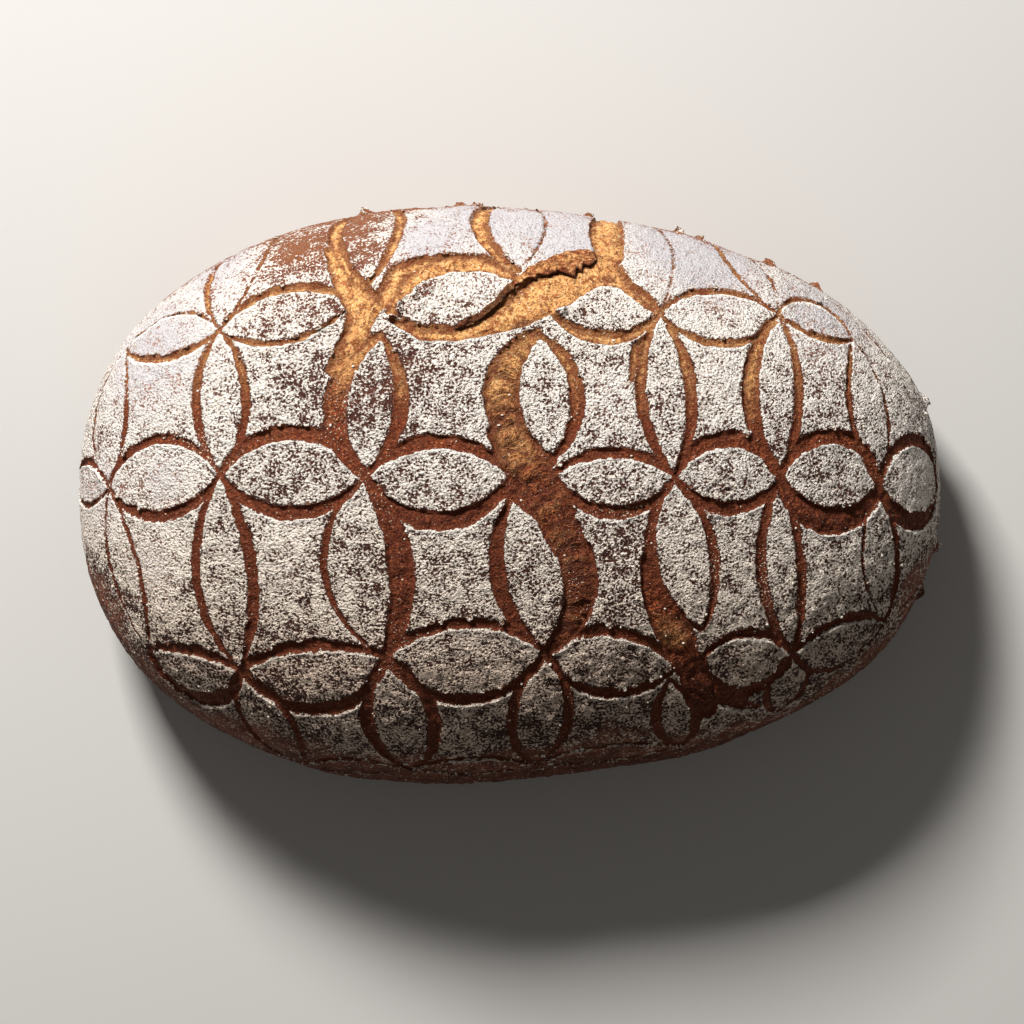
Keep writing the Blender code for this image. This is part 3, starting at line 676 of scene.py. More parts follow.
def crust_masks(sheet, points, body, masks, flow):
    """What the materials need to know about each place of the crust."""
    x = points[:, 0] / MM
    y = points[:, 1] / MM
    thick = patches(points, THICK_FLOUR)
    thin = patches(points, THIN_FLOUR)
    side = SIDE_BAND + NEAR_SIDE_BAND * np.clip(-y / 30, 0, 1) * (1 - (x / SIDE_BAND_LENGTH) ** 2)
    side = side + FAR_SIDE_BAND * np.clip((y - 50) / 40, 0, 1)
    side = side + 4 * wobble(points, 16 * MM, 31) + 2.5 * wobble(points, 5 * MM, 35)
    below = side - body[:, 2] / MM
    bare_side = np.clip(below / SIDE_BAND_EDGE, 0, 1)
    far = np.clip(0.5 + (y - 60) / 60, 0, 1)
    flour = np.clip(FLOUR_COVER + 0.03 * far + MORE_WHERE_THICK * thick, 0, 1)
    flour = flour - LESS_WHERE_THIN * thin * (1 - 0.3 * thick) - LESS_ON_CRAGS * patches(points, FLAKED)
    flour = flour - LESS_ON_NEAR_SIDE * np.clip((below + 18) / 24, 0, 1) * (y < 0)
    flour = flour + 0.09 * wobble(points, 18 * MM, 32) + 0.08 * wobble(points, 7 * MM, 33)
    # The crumb is golden on the far side and brown on the near side: partly its own browning, partly painted
    # light where the dome faces the light and painted shade where it turns away; below zero it is painted
    # shade alone
    gold = np.clip(0.52 + (y - 35) / 40, -0.6, 1) + patches(points, PALE_CRUMB)
    masks["flour"] = np.clip(flour * (1 - bare_side), 0, 1)
    masks["powder"] = np.clip(thick * (1 - thin), 0, 1)
    # Towards the near side the flour tans and darkens: partly its own tan, partly painted shade where the
    # dome turns away from the light
    masks["tan_and_shade"] = np.clip((15 - y) / 75, 0, 1)
    masks["gold"] = np.clip(gold + 0.1 * wobble(points, 9 * MM, 34), -0.6, 1)
    masks["side"] = bare_side
    masks["worn"] = wobble(points, WORN_SIZE, WORN_SEED)
    masks["ruddy"] = np.clip((y - 45) / 35, 0, 1) * np.maximum(np.clip((10 - x) / 50, 0, 1), bare_side)
    masks["sprinkled"] = patches(points, SPRINKLED)
    for name, values in masks.items():
        write_mask(sheet, name, values)
    write_places(sheet, "sheet", np.concatenate([points, np.zeros((len(points), 1))], axis=1))
    write_places(sheet, "flow", flow)


BASE_FADE = 12 * MM


def lay_sheet(sheet):
    """Lays the flat sheet over the dome, with its cuts, lips, wrinkles and lumps."""
    points = points_of(sheet)[:, :2]
    body = lay_on_body(points)
    right, away, normal = body_directions(points)
    height, lean, masks, side, flow = relief(points)
    fade = (np.clip(body[:, 2] / BASE_FADE, 0, 1) ** 2)[:, None]
    lean = lean * fade
    places = body + normal * height[:, None] * fade + right * lean[:, :1] + away * lean[:, 1:]
    places[inside_edge(points) < 0.1 * MM, 2] = 0
    places[:, 2] = np.maximum(places[:, 2], 0)
    crust_masks(sheet, points, body, masks, flow)
    place_points(sheet, places)
    return {"sheet": points, "place": places, "right": right, "away": away, "normal": normal,
            "side": side, "rim": masks["rim"], "upper": -masks["lit"]}


def sheet_places(mesh):
    """Where each vertex was on the flat sheet."""
    return read(mesh.attributes["sheet"].data, "vector", 3)[:, :2]


def part_sheet(sheet):
    """Parts the crust into a far, a middle and a near piece."""
    parts = [sheet]
    for name, sign in (("crust_far", 1), ("crust_near", -1)):
        mesh = sheet.data
        beyond = sheet_places(mesh)[:, 1] * sign > PARTING - 0.02 * MM
        wanted = beyond[faces_of(mesh, 3)].all(axis=1)
        select_vertices(sheet, np.zeros(len(beyond), bool))
        mesh.polygons.foreach_set("select", wanted)
        in_edit_mode(sheet, "FACE")
        bpy.ops.mesh.separate(type="SELECTED")
        bpy.ops.object.mode_set(mode="OBJECT")
        piece = [thing for thing in bpy.context.selected_objects if thing != sheet][0]
        piece.name = name
        piece.data.name = name
        parts.append(piece)
    return parts


def close_inside(piece):
    """Draws the open border to one point inside the loaf, so that the piece is closed."""
    in_edit_mode(piece, "EDGE")
    bpy.ops.mesh.select_all(action="DESELECT")
    bpy.ops.mesh.select_non_manifold(use_wire=False, use_boundary=True, use_multi_face=False,
                                     use_non_contiguous=False, use_verts=False)
    bpy.ops.mesh.mark_sharp()
    bpy.ops.mesh.extrude_edges_move()
    bpy.ops.mesh.merge(type="CENTER")
    bpy.ops.object.mode_set(mode="OBJECT")
    finish_shell(piece, 62)


def unroll(piece):
    """A UV map straight from the flat sheet. The closing faces inside share one corner of it."""
    mesh = piece.data
    flat = sheet_places(mesh)
    faces = faces_of(mesh, 3)
    tip = np.bincount(faces.ravel()).argmax()
    closing = (faces == tip).any(axis=1)
    shown = flat[np.unique(faces[~closing])]
    low = shown.min(axis=0)
    places = 0.02 + 0.97 * (flat[faces.ravel()] - low) / (shown.max(axis=0) - low)
    places[np.repeat(closing, 3)] = 0.005
    layer = mesh.uv_layers.new(name="OFBake")
    layer.data.foreach_set("uv", places.astype(np.float32).ravel())


BASE_RINGS = (1, 0.97, 0.92, 0.8, 0.62, 0.42, 0.2)
BASE_HOLLOW = 0.9 * MM
BASE_LID = 9 * MM


def base_disc():
    """The flat floured underside, closed upwards inside the loaf."""
    bpy.ops.object.select_all(action="DESELECT")
    bpy.ops.mesh.primitive_circle_add(vertices=360, radius=1, fill_type="NGON")
    base = named("underside")
    in_edit_mode(base, "FACE", whole=True)
    for outer, inner in zip(BASE_RINGS, BASE_RINGS[1:]):
        bpy.ops.mesh.extrude_region_move()
        bpy.ops.transform.resize(value=(inner / outer, inner / outer, 1))
    bpy.ops.object.mode_set(mode="OBJECT")
    places = points_of(base)
    angle = np.arctan2(places[:, 1], places[:, 0])
    share = np.hypot(places[:, 0], places[:, 1])
    outline = np.stack([np.cos(angle), np.sin(angle)], axis=1) * (sheet_edge(angle) - 0.01 * MM)[:, None]
    places[:, :2] = lay_on_body(outline)[:, :2] * share[:, None]
    hollow = np.clip((0.96 - share) / 0.2, 0, 1) * (0.5 + 0.5 * wobble(places[:, :2], 24 * MM, 41))
    places[:, 2] = BASE_HOLLOW * hollow
    place_points(base, places)
    in_edit_mode(base, "FACE", whole=True)
    bpy.ops.mesh.extrude_region_move()
    bpy.ops.transform.translate(value=(0, 0, BASE_LID))
    bpy.ops.transform.resize(value=(0.93, 0.93, 1), center_override=(0, 0, 0))
    bpy.ops.object.mode_set(mode="OBJECT")
    finish_shell(base, 40)
    return base


def smooth_line(line, widths, count):
    """A line of a few points rounded off, with its widths, at even steps along it."""
    run = np.concatenate([[0], np.cumsum(np.hypot(*np.diff(line, axis=0).T))])
    at = np.linspace(0, run[-1], count)
    columns = [np.interp(at, run, line[:, 0]), np.interp(at, run, line[:, 1]), np.interp(at, run, widths)]
    kernel = np.hanning(2 * (count // 12) + 3)
    kernel = kernel / kernel.sum()
    pad = len(kernel) // 2
    rounded = []
    for column in columns:
        before = 2 * column[0] - column[pad:0:-1]
        after = 2 * column[-1] - column[-2:-pad - 2:-1]
        rounded.append(np.convolve(np.concatenate([before, column, after]), kernel, mode="valid"))
    return np.stack(rounded[:2], axis=1), rounded[2]


EAR_STEPS = 170
EAR_ROWS = 14
EAR_THICKNESS = 0.7 * MM
EAR_OVERHANG = 0.9 * MM
EAR_CREST = 1.5 * MM
EAR_DROP = 0.7 * MM
# The teeth of its torn edge: the share along it, half the width as a share, and the millimetres
EAR_TEETH = [(0.30, 0.02, 0.8), (0.40, 0.03, 1.0), (0.48, 0.02, 0.9), (0.57, 0.018, 1.6), (0.65, 0.05, 1.3),
             (0.785, 0.06, 4.0), (0.86, 0.035, 3.0), (0.93, 0.03, 1.0)]
EAR_CRAG = 0.6 * MM
WIDEST_EAR = 3.0 * MM


def curled_ear():
    """The torn edge of crust that curls up beside the biggest tear."""
    bpy.ops.object.select_all(action="DESELECT")
    bpy.ops.mesh.primitive_grid_add(x_subdivisions=EAR_STEPS, y_subdivisions=EAR_ROWS, size=1)
    ear = named("curled_ear")
    flat = points_of(ear)
    line, half = smooth_line(*EAR, EAR_STEPS + 1)
    along = flat[:, 0] + 0.5
    across = 0.5 - flat[:, 1]
    step = np.rint(along * EAR_STEPS).astype(int)
    tangent = unit(np.gradient(line, axis=0))
    outward = np.stack([tangent[:, 1], -tangent[:, 0]], axis=1)
    taper = np.clip(np.minimum(along / 0.10, (1 - along) / 0.05), 0, 1) ** 0.6
    size = half[step] / WIDEST_EAR
    at_edge = np.stack([along * (EAR_STEPS * 0.36), np.zeros(len(along))], axis=1)
    teeth = 0.35 * wobble(at_edge, 2.9, 51) + 0.5 * np.abs(wobble(at_edge, 1.3, 52))
    for place, width, length in EAR_TEETH:
        teeth = teeth + length * np.clip(1 - np.abs(along - place) / width, 0, 1)
    reach = (across - 0.5) * 2 * half[step] * (0.35 + 0.65 * taper)
    reach = reach + across ** 2 * (EAR_OVERHANG + MM * teeth) * taper * (0.5 + 0.5 * size)
    reach = reach + (1 - across) ** 3 * 0.7 * MM * wobble(at_edge, 2.2, 53)
    sheet = line[step] + outward[step] * reach[:, None]
    rise = np.clip(across / 0.16, 0, 1) ** 0.6
    fall = np.clip((across - 0.16) / 0.84, 0, 1) ** 1.3
    rough = 0.8 * wobble(sheet, 1.1 * MM, 54) + 0.7 * wobble(sheet, 2.4 * MM, 55)
    rough = rough + 0.9 * wobble(at_edge, 4.5, 56)
    height = (EAR_CREST * rise - EAR_DROP * fall + EAR_CRAG * rough * rise) * (0.45 + 0.2 * size) * taper
    height = height + 0.55 * MM * taper + lumps(sheet)
    place_points(ear, lay_on_body(sheet) + body_directions(sheet)[2] * height[:, None])
    edges = np.clip(1 - np.abs(across - 0.06) / 0.12, 0, 1) + np.clip((across - 0.86) / 0.14, 0, 1)
    write_mask(ear, "crest", edges + 0.75 * np.clip((0.5 - along) / 0.15, 0, 1))
    finish_shell(ear, 70, EAR_THICKNESS)
    return ear


CHIP_LENGTH_CELLS = 7
CHIP_WIDTH_CELLS = 4
CHIP_COUNT = 150
CHIP_SEED = 61
CHIP_LIFT = 0.45 * MM
LOWEST_CHIP = 30 * MM
AWAY_FROM_EAR = 5 * MM
CHIP_THICKNESS = 0.35 * MM
# How long and wide the chips are, in millimetres, and how far they tilt
RIM_CHIP = [(0.9, 2.6), (0.5, 1.1), (0.05, 0.5)]
OUTLINE_CHIP = [(3.0, 4.2), (1.4, 2.2), (0.8, 1.3)]


def drawn_sizes(rng, ranges):
    return [rng.uniform(low, high) for low, high in ranges]


def ragged_chips(crust):
    """Small flakes of floured skin that stand on the rims and along the outline."""
    rng = np.random.default_rng(CHIP_SEED)
    from_ear = nearest_on_line(crust["sheet"], *EAR)[0]
    rim = np.flatnonzero((np.abs(crust["rim"]) < 0.12) & (crust["upper"] > 0.35)
                         & (crust["place"][:, 2] > LOWEST_CHIP) & (from_ear > AWAY_FROM_EAR))
    spots = [(crust["sheet"][index], -crust["side"][index], *drawn_sizes(rng, RIM_CHIP))
             for index in rng.choice(rim, CHIP_COUNT, replace=False)]
    for place in FLAKES:
        centre = np.array(place, float) * MM
        spots.append((centre, centre / np.hypot(*centre), *drawn_sizes(rng, OUTLINE_CHIP)))
    bpy.ops.object.select_all(action="DESELECT")
    bpy.ops.mesh.primitive_grid_add(x_subdivisions=CHIP_LENGTH_CELLS, y_subdivisions=CHIP_WIDTH_CELLS, size=1)
    chips = named("ragged_chips")
    flat = points_of(chips)[:, :2]
    outline = np.clip(1 - (2 * np.abs(flat[:, 0])) ** 2.5, 0.12, 1)
    copies = []
    for number, (spot, out, length, width, tilt) in enumerate(spots):
        ragged = 1 + 0.35 * wobble(flat * 2.3 + number, 1, 62)
        run = flat[:, 0] * length * MM
        reach = (flat[:, 1] + 0.12) * width * MM * outline * ragged * 1.6
        sheet = spot + np.outer(run, [-out[1], out[0]]) + np.outer(reach, out)
        curl = np.clip(flat[:, 1] + 0.5, 0, 1) ** 1.5 * width * MM * tilt * ragged
        lift = CHIP_LIFT + curl + 0.12 * MM * wobble(flat * 3 + number, 1, 63) + lumps(sheet)
        copies.append(lay_on_body(sheet) + body_directions(sheet)[2] * lift[:, None])
    copies_mesh(chips, np.array(copies), faces_of(chips.data, 4))
    finish_shell(chips, 50, CHIP_THICKNESS)
    return chips


GRANULE_COUNT = 2200
GRANULE_SEED = 71
LOWEST_GRANULE = 38 * MM
FEWER_BEYOND = 70 * MM
SMALLEST_GRANULE = 0.13
LARGEST_GRANULE = 0.55


def flour_granules(crust):
    """Loose little clumps of flour on the skin and in the cuts."""
    rng = np.random.default_rng(GRANULE_SEED)
    weight = np.where(np.abs(crust["rim"]) < 0.6, 1.3, 0.4) * (crust["place"][:, 2] > LOWEST_GRANULE)
    weight = weight * np.where(crust["sheet"][:, 1] > FEWER_BEYOND, 0.5, 1.0)
    chosen = rng.choice(len(weight), GRANULE_COUNT, replace=False, p=weight / weight.sum())
    bpy.ops.object.select_all(action="DESELECT")
    bpy.ops.mesh.primitive_ico_sphere_add(subdivisions=1, radius=1)
    granules = named("flour_granules")
    ball = points_of(granules)
    size = rng.uniform(0, 1, (GRANULE_COUNT, 1, 1)) ** 7
    size = (SMALLEST_GRANULE + (LARGEST_GRANULE - SMALLEST_GRANULE) * size) * MM
    stretch = rng.uniform(0.6, 1.35, (GRANULE_COUNT, 1, 3)) * [1, 1, 0.7]
    lumpy = rng.uniform(0.78, 1.22, (GRANULE_COUNT, len(ball), 1))
    basis = np.stack([crust[name][chosen] for name in ("right", "away", "normal")], axis=1)
    turned = np.einsum("nvk,nkd->nvd", ball[None] * size * stretch * lumpy, basis)
    base = crust["place"][chosen] + crust["normal"][chosen] * size[:, 0] * 0.45
    copies_mesh(granules, turned + base[:, None], faces_of(granules.data, 3))
    select_only(granules)
    bpy.ops.object.shade_smooth()
    return granules


# Shader trees

class Wire:
    """A value in a shader tree. Sums and products of wires add the nodes that work them out."""

    def __init__(self, tree, socket):
        self.tree = tree
        self.socket = socket

    def maths(self, operation, first, second=0.0):
        made = add_node(self.tree, "ShaderNodeMath", {0: first, 1: second}, operation=operation)
        return Wire(self.tree, made.outputs[0])

    def __add__(self, other):
        return self.maths("ADD", self, other)

    def __radd__(self, other):
        return self.maths("ADD", other, self)

    def __sub__(self, other):
        return self.maths("SUBTRACT", self, other)

    def __rsub__(self, other):
        return self.maths("SUBTRACT", other, self)

    def __mul__(self, other):
        return self.maths("MULTIPLY", self, other)

    def __abs__(self):
        return self.maths("ABSOLUTE", self)

    def between(self, low, high):
        """0 at low and beyond it, 1 at high and beyond it, with soft ends."""
        inputs = {"Value": self, "From Min": low, "From Max": high}
        made = add_node(self.tree, "ShaderNodeMapRange", inputs, interpolation_type="SMOOTHSTEP")
        return Wire(self.tree, made.outputs["Result"])


def connect(value, socket):
    """Links a wire to a socket, or writes a number or a colour into it."""
    if isinstance(value, Wire):
        value.tree.links.new(value.socket, socket)
    elif socket.type == "RGBA":
        socket.default_value = (*value, 1.0)
    else:
        socket.default_value = value


def add_node(tree, kind, inputs=(), **settings):
    """Adds a node, sets its properties, and fills or links its inputs."""
    made = tree.nodes.new(kind)
    for name, value in settings.items():
        setattr(made, name, value)
    for socket, value in dict(inputs).items():
        connect(value, made.inputs[socket])
    return made


def object_place(tree):
    return Wire(tree, add_node(tree, "ShaderNodeTexCoord").outputs["Object"])


def grainy(place, size, detail=2.0, rough=0.5, bend=0.0):
    """Noise whose lumps are about as large as size."""
    inputs = {"Vector": place, "Scale": 1 / size, "Detail": detail, "Roughness": rough, "Distortion": bend}
    return Wire(place.tree, add_node(place.tree, "ShaderNodeTexNoise", inputs).outputs["Fac"])


def mixed(factor, first, second):
    """Goes from the first colour to the second."""
    inputs = {"Factor": factor, 6: first, 7: second}
    return Wire(factor.tree, add_node(factor.tree, "ShaderNodeMix", inputs, data_type="RGBA").outputs[2])


def blended(factor, first, second):
    """Goes from the first number to the second."""
    made = add_node(factor.tree, "ShaderNodeMix", {"Factor": factor, "A": first, "B": second})
    return Wire(factor.tree, made.outputs[0])


def kept(tree, name, output="Fac"):
    """What a piece keeps for each of its vertices under this name."""
    made = add_node(tree, "ShaderNodeAttribute", attribute_name=name, attribute_type="GEOMETRY")
    return Wire(tree, made.outputs[output])


def new_group(name, inputs, outputs):
    """A shader node group: the wires that it is given, the place, and the node that takes its results."""
    group = bpy.data.node_groups.new(name, "ShaderNodeTree")
    for side, labels in (("INPUT", inputs), ("OUTPUT", outputs)):
        for label, kind in labels.items():
            group.interface.new_socket(label, in_out=side, socket_type="NodeSocket" + kind)
    source = group.nodes.new("NodeGroupInput")
    given = {label: Wire(group, source.outputs[label]) for label in inputs}
    return group, given, object_place(group), group.nodes.new("NodeGroupOutput")


def use_group(tree, group, **inputs):
    """Puts a node group into a material with its own values, and gives its results as wires."""
    made = add_node(tree, "ShaderNodeGroup", inputs, node_tree=group)
    return {socket.name: Wire(tree, socket) for socket in made.outputs}


def new_material(name):
    """A material with its shader and the place that its patterns follow."""
    material = bpy.data.materials.new(name)
    material.use_nodes = True
    tree = material.node_tree
    return material, tree.nodes["Principled BSDF"], object_place(tree)


def finish_surface(shader, colour, roughness, height=None, strength=1.0):
    """Gives a shader its colour, its roughness and the finest relief of its surface."""
    connect(colour, shader.inputs["Base Color"])
    connect(roughness, shader.inputs["Roughness"])
    if height is not None:
        inputs = {"Height": height, "Distance": MM, "Strength": strength}
        bump = add_node(height.tree, "ShaderNodeBump", inputs)
        connect(Wire(height.tree, bump.outputs["Normal"]), shader.inputs["Normal"])


# The flour and the baked crumb, which several materials share

FLOUR_CLUMP = 0.85 * MM
FLOUR_DRIFT = 4.5 * MM
FLOUR_SPECK = 0.7 * MM
FLOUR_CONTRAST = 4.6
DULL = 0.2


def flour_dust():
    """Clumped flour over a dark skin: where it lies, its tone with painted light and shade on the sides of
    the clumps, and its height.
    """
    group, given, place, result = new_group(
        "flour dust", {"Cover": "Float", "Powder": "Float"},
        {"Lies": "Float", "Painted Shade Tone": "Float", "Height": "Float"})
    powder = given["Powder"]
    clumps = grainy(place, FLOUR_CLUMP, 2.0, 0.6, 0.2) * 0.68 + grainy(place, FLOUR_DRIFT) * 0.32
    specks = grainy(place, FLOUR_SPECK, 1.0)
    wanted = given["Cover"] + (clumps - 0.5) * FLOUR_CONTRAST + powder * 0.14
    connect(wanted.between(0.47, 0.56), result.inputs["Lies"])
    connect(specks.between(0.32, 0.52) * 0.6 + wanted.between(0.5, 0.85) * 0.4, result.inputs["Painted Shade Tone"])
    connect((wanted * 0.72 + specks * 0.75) * (1.0 - powder * 0.62), result.inputs["Height"])
    return group


CRUMB_STIPPLE = 0.85 * MM
CRUMB_PIT = 1.2 * MM
CRUMB_BLOTCH = 3.2 * MM
CRUMB_DRIFT = 11 * MM
# Waves for each metre along and across a strand
STRAND_WAVES = (330, 120, 0)
BROWN_CRUMB = (0.20, 0.038, 0.012)
DARK_BROWN_CRUMB = (0.092, 0.016, 0.0065)
SHADED_CRUMB = (0.06, 0.015, 0.008)
LIGHT_STIPPLE = (0.56, 0.175, 0.058)
DARK_STIPPLE = (0.040, 0.009, 0.004)
GOLDEN_CRUMB = (0.80, 0.42, 0.148)
DARK_GOLDEN_CRUMB = (0.37, 0.118, 0.036)
PALE_STIPPLE = (0.95, 0.65, 0.32)
AMBER_STIPPLE = (0.29, 0.080, 0.023)
TORN_RIDGE = (0.72, 0.36, 0.13)
PIT_BROWN = (0.11, 0.028, 0.011)
CREASE_SHADE = (0.09, 0.022, 0.010)
HOLLOW_SHADE = (0.085, 0.018, 0.007)
BROWN_STRAND = (0.34, 0.100, 0.030)
GOLDEN_STRAND = (0.72, 0.34, 0.115)
TOASTED_EDGE_AND_SHADE = (0.15, 0.036, 0.014)


def baked_crumb():
    """Opened crumb that has browned: red-brown to golden, stippled with fine pits."""
    group, given, place, result = new_group(
        "baked crumb",
        {"Gold": "Float", "Rim": "Float", "Torn": "Float", "Strand": "Float", "Flow": "Vector"},
        {"Colour": "Color", "Height": "Float"})
    gold = given["Gold"]
    stipple = grainy(place, CRUMB_STIPPLE, 2.0, 0.65, 0.3)
    blotch = grainy(place, CRUMB_BLOTCH, 3.0, 0.6, 0.6)
    pits = grainy(place, CRUMB_PIT, 2.0, 0.5, 0.6).between(0.58, 0.65)
    light = stipple.between(0.52, 0.64)
    dark = stipple.between(0.48, 0.36)
    # Below zero the gold mask darkens the crumb towards the near side: painted shade
    painted_shade_on_near_side = gold.between(-0.1, -0.6) * 0.45
    brown = mixed(blotch.between(0.38, 0.66), BROWN_CRUMB, DARK_BROWN_CRUMB)
    brown = mixed(painted_shade_on_near_side, brown, SHADED_CRUMB)
    brown = mixed(light * (0.8 - painted_shade_on_near_side), brown, LIGHT_STIPPLE)
    brown = mixed(dark * 0.88, brown, DARK_STIPPLE)
    golden = mixed(blotch.between(0.40, 0.66), GOLDEN_CRUMB, DARK_GOLDEN_CRUMB)
    golden = mixed(light * 0.65, golden, PALE_STIPPLE)
    golden = mixed(dark * 0.72, golden, AMBER_STIPPLE)
    # From brown to golden by the gold mask, which holds painted light and shade besides the crumb's own
    # browning
    shifted = gold + (grainy(place, CRUMB_DRIFT) - 0.5) * 0.7 + (blotch - 0.5)
    colour = mixed(shifted.between(0.1, 0.95), brown, golden)
    colour = mixed(given["Torn"].between(0.35, 1.0) * 0.2, colour, TORN_RIDGE)
    colour = mixed(pits * 0.6, colour, PIT_BROWN)
    # Painted shade in the troughs between the wrinkles
    colour = mixed(given["Torn"].between(-0.1, -0.75) * 0.6, colour, CREASE_SHADE)

    drawn = add_node(group, "ShaderNodeVectorMath", {0: given["Flow"], 1: STRAND_WAVES}, operation="MULTIPLY")
    waves = add_node(group, "ShaderNodeTexNoise", {"Vector": Wire(group, drawn.outputs[0]), "Scale": 1.0,
                                                   "Detail": 1.0, "Distortion": 0.5})
    split = add_node(group, "ShaderNodeSeparateColor", {"Color": Wire(group, waves.outputs["Color"])})
    first, second, third = [Wire(group, socket) for socket in split.outputs]
    thick = abs(first - 0.5).between(0.03, 0.004)
    thin = abs(second - 0.5).between(0.022, 0.004)
    strands = thick.maths("MAXIMUM", thick, thin) * given["Strand"]
    # Painted shade in the hollows between the strands
    shaded_hollows = third.between(0.42, 0.62) * given["Strand"]
    colour = mixed(shaded_hollows * 0.7, colour, HOLLOW_SHADE)
    colour = mixed(strands * 0.6, colour, mixed(gold, BROWN_STRAND, GOLDEN_STRAND))
    # A dark brown margin along the rims: toasted crust, which the crust material widens on the walls that
    # face away from the light as painted shade
    toasted_margin_and_shade = (given["Rim"] + (blotch - 0.5) * 4.0).between(-3.0, -0.3)
    colour = mixed(toasted_margin_and_shade * 0.75, colour, TOASTED_EDGE_AND_SHADE)
    connect(colour, result.inputs["Colour"])
    connect(stipple * 0.95 + blotch * 1.1 - pits * 0.2 + strands * 0.4, result.inputs["Height"])
    return group


# The materials

BARE_SKIN = (0.38, 0.135, 0.075)
DARK_BARE_SKIN = (0.19, 0.058, 0.032)
# The bare side: its own darker baked brown, darkened further as painted shade where it turns away from the
# light
SHADED_BAKED_SIDE = (0.165, 0.047, 0.020)
DARK_SHADED_BAKED_SIDE = (0.088, 0.023, 0.011)
RUDDY_SKIN = (0.30, 0.112, 0.052)
# What shows between the clumps of flour: the crust in painted shade, darkest on the near side, paler under
# powder and redder on the ruddy skin
FAR_GAP_SHADE = (0.070, 0.026, 0.020)
NEAR_GAP_SHADE = (0.030, 0.010, 0.007)
POWDERED_GAP = (0.40, 0.21, 0.15)
RUDDY_GAP = (0.21, 0.070, 0.040)
# The flour, each as a dark and a light tone: painted shade and painted light on the sides of its clumps
WARM_FLOUR = [(0.33, 0.25, 0.195), (1.0, 0.93, 0.85)]
COOL_FLOUR = [(0.36, 0.315, 0.315), (0.555, 0.534, 0.552)]
TANNED_FLOUR = [(0.17, 0.098, 0.064), (0.98, 0.82, 0.65)]
NEAR_SHADED_FLOUR = [(0.12, 0.064, 0.044), (0.84, 0.64, 0.49)]
# The painted highlight along the rims that face the light, on the far and on the near side
RIM_HIGHLIGHT_FLOUR = [(0.98, 0.93, 0.86), (0.74, 0.64, 0.54)]
FLOUR_SPRINKLE = (0.80, 0.69, 0.53)


def floured_crust(dust, crumb):
    """The material of the crust: flour over brown skin, and the opened cuts between."""
    material, shader, place = new_material("floured crust")
    tree = place.tree
    rim, flour, powder, lit, side, strand, ruddy, row = [
        kept(tree, name) for name in ("rim", "flour", "powder", "lit", "side", "strand", "ruddy", "tan_and_shade")]

    # The ragged line between the skin and the opened crumb
    worn = kept(tree, "worn").between(0.0, 0.7) + powder * 1.2
    frayed = rim + (grainy(place, 1.0 * MM, 2.0, 0.6) - 0.5) * (0.6 + worn)
    crumbly = (grainy(place, 2.2 * MM, 2.0, 0.6) - 0.30) * 1.7
    frayed = frayed + lit.between(0.15, 0.75) * crumbly
    skin = frayed.between(-0.2, 0.06)

    # How thick the flour lies
    # On the rims that face away from the light the flour thins, so these edges show darker
    thin_flour_on_rims_facing_away = (1.0 - frayed.between(0.05, 0.55)) * lit.between(0.5, -0.4)
    # On the rims that face the light there is more flour: partly real flour, partly a painted highlight
    lit_rim_cover = rim.between(1.1, 0.2) * lit.between(0.1, 0.8)
    cover = flour - thin_flour_on_rims_facing_away * 0.36 + lit_rim_cover * 0.3
    drift = powder.between(0.1, 0.8) * rim.between(-1.6, -0.2)
    cover = blended(skin, -0.40 + drift * 0.45, cover)
    dusted = use_group(tree, dust, Cover=cover, Powder=powder)
    # The rim is shifted on the cut walls that face away from the light, so the toasted margin reaches further
    # there: painted shade
    rim_shifted_for_painted_shade = rim + lit.between(0.2, -0.6) * 1.4
    opened = use_group(tree, crumb, Gold=kept(tree, "gold"), Rim=rim_shifted_for_painted_shade, Torn=kept(tree, "torn"),
                       Strand=strand, Flow=kept(tree, "flow", "Vector"))

    # The bare skin, and the gaps between the clumps, which are painted shade
    blotch = grainy(place, 6 * MM, 3.0, 0.55, 0.3).between(0.35, 0.7)
    bare = mixed(side, mixed(blotch, BARE_SKIN, DARK_BARE_SKIN), mixed(blotch, SHADED_BAKED_SIDE, DARK_SHADED_BAKED_SIDE))
    bare = mixed(ruddy, bare, RUDDY_SKIN)
    gap_shade = mixed(powder.between(0.2, 0.8), mixed(row, FAR_GAP_SHADE, NEAR_GAP_SHADE), POWDERED_GAP)
    gap_shade = mixed(ruddy, gap_shade, RUDDY_GAP)
    bare = mixed(flour.between(0.15, 0.5) * 0.92, bare, gap_shade)
    under = mixed(skin, opened["Colour"], bare)

    # The flour itself: paler on the far side and darker towards the near side, partly its own tan and partly
    # painted shade, with a painted highlight on the rims that face the light
    warm, cool, tanned, near = [
        mixed(dusted["Painted Shade Tone"], *tones) for tones in (WARM_FLOUR, COOL_FLOUR, TANNED_FLOUR, NEAR_SHADED_FLOUR)]
    white = mixed(powder.between(0.2, 0.95), warm, cool)
    white = mixed(row * 0.85, white, mixed(row.between(0.6, 1.0), tanned, near))
    # A painted highlight: a thin pale line on the rims that face the light
    painted_rim_highlight = rim.between(1.2, 0.4) * lit.between(0.2, 0.8)
    white = mixed(painted_rim_highlight * 0.8, white, mixed(row, *RIM_HIGHLIGHT_FLOUR))
    colour = mixed(dusted["Lies"], under, white)
    fine = grainy(place, 0.62 * MM, 1.0) + kept(tree, "sprinkled") * 0.13
    colour = mixed(fine.between(0.745, 0.77) * (1.0 - skin) * 0.8, colour, FLOUR_SPRINKLE)

    gloss = (1.0 - dusted["Lies"]) * (0.15 + strand * 0.3)
    skin_height = dusted["Height"] + grainy(place, 1.9 * MM) * 0.5
    finish_surface(shader, colour, 0.95 - gloss, blended(skin, opened["Height"], skin_height))
    connect(DULL, shader.inputs["Specular IOR Level"])
    return material


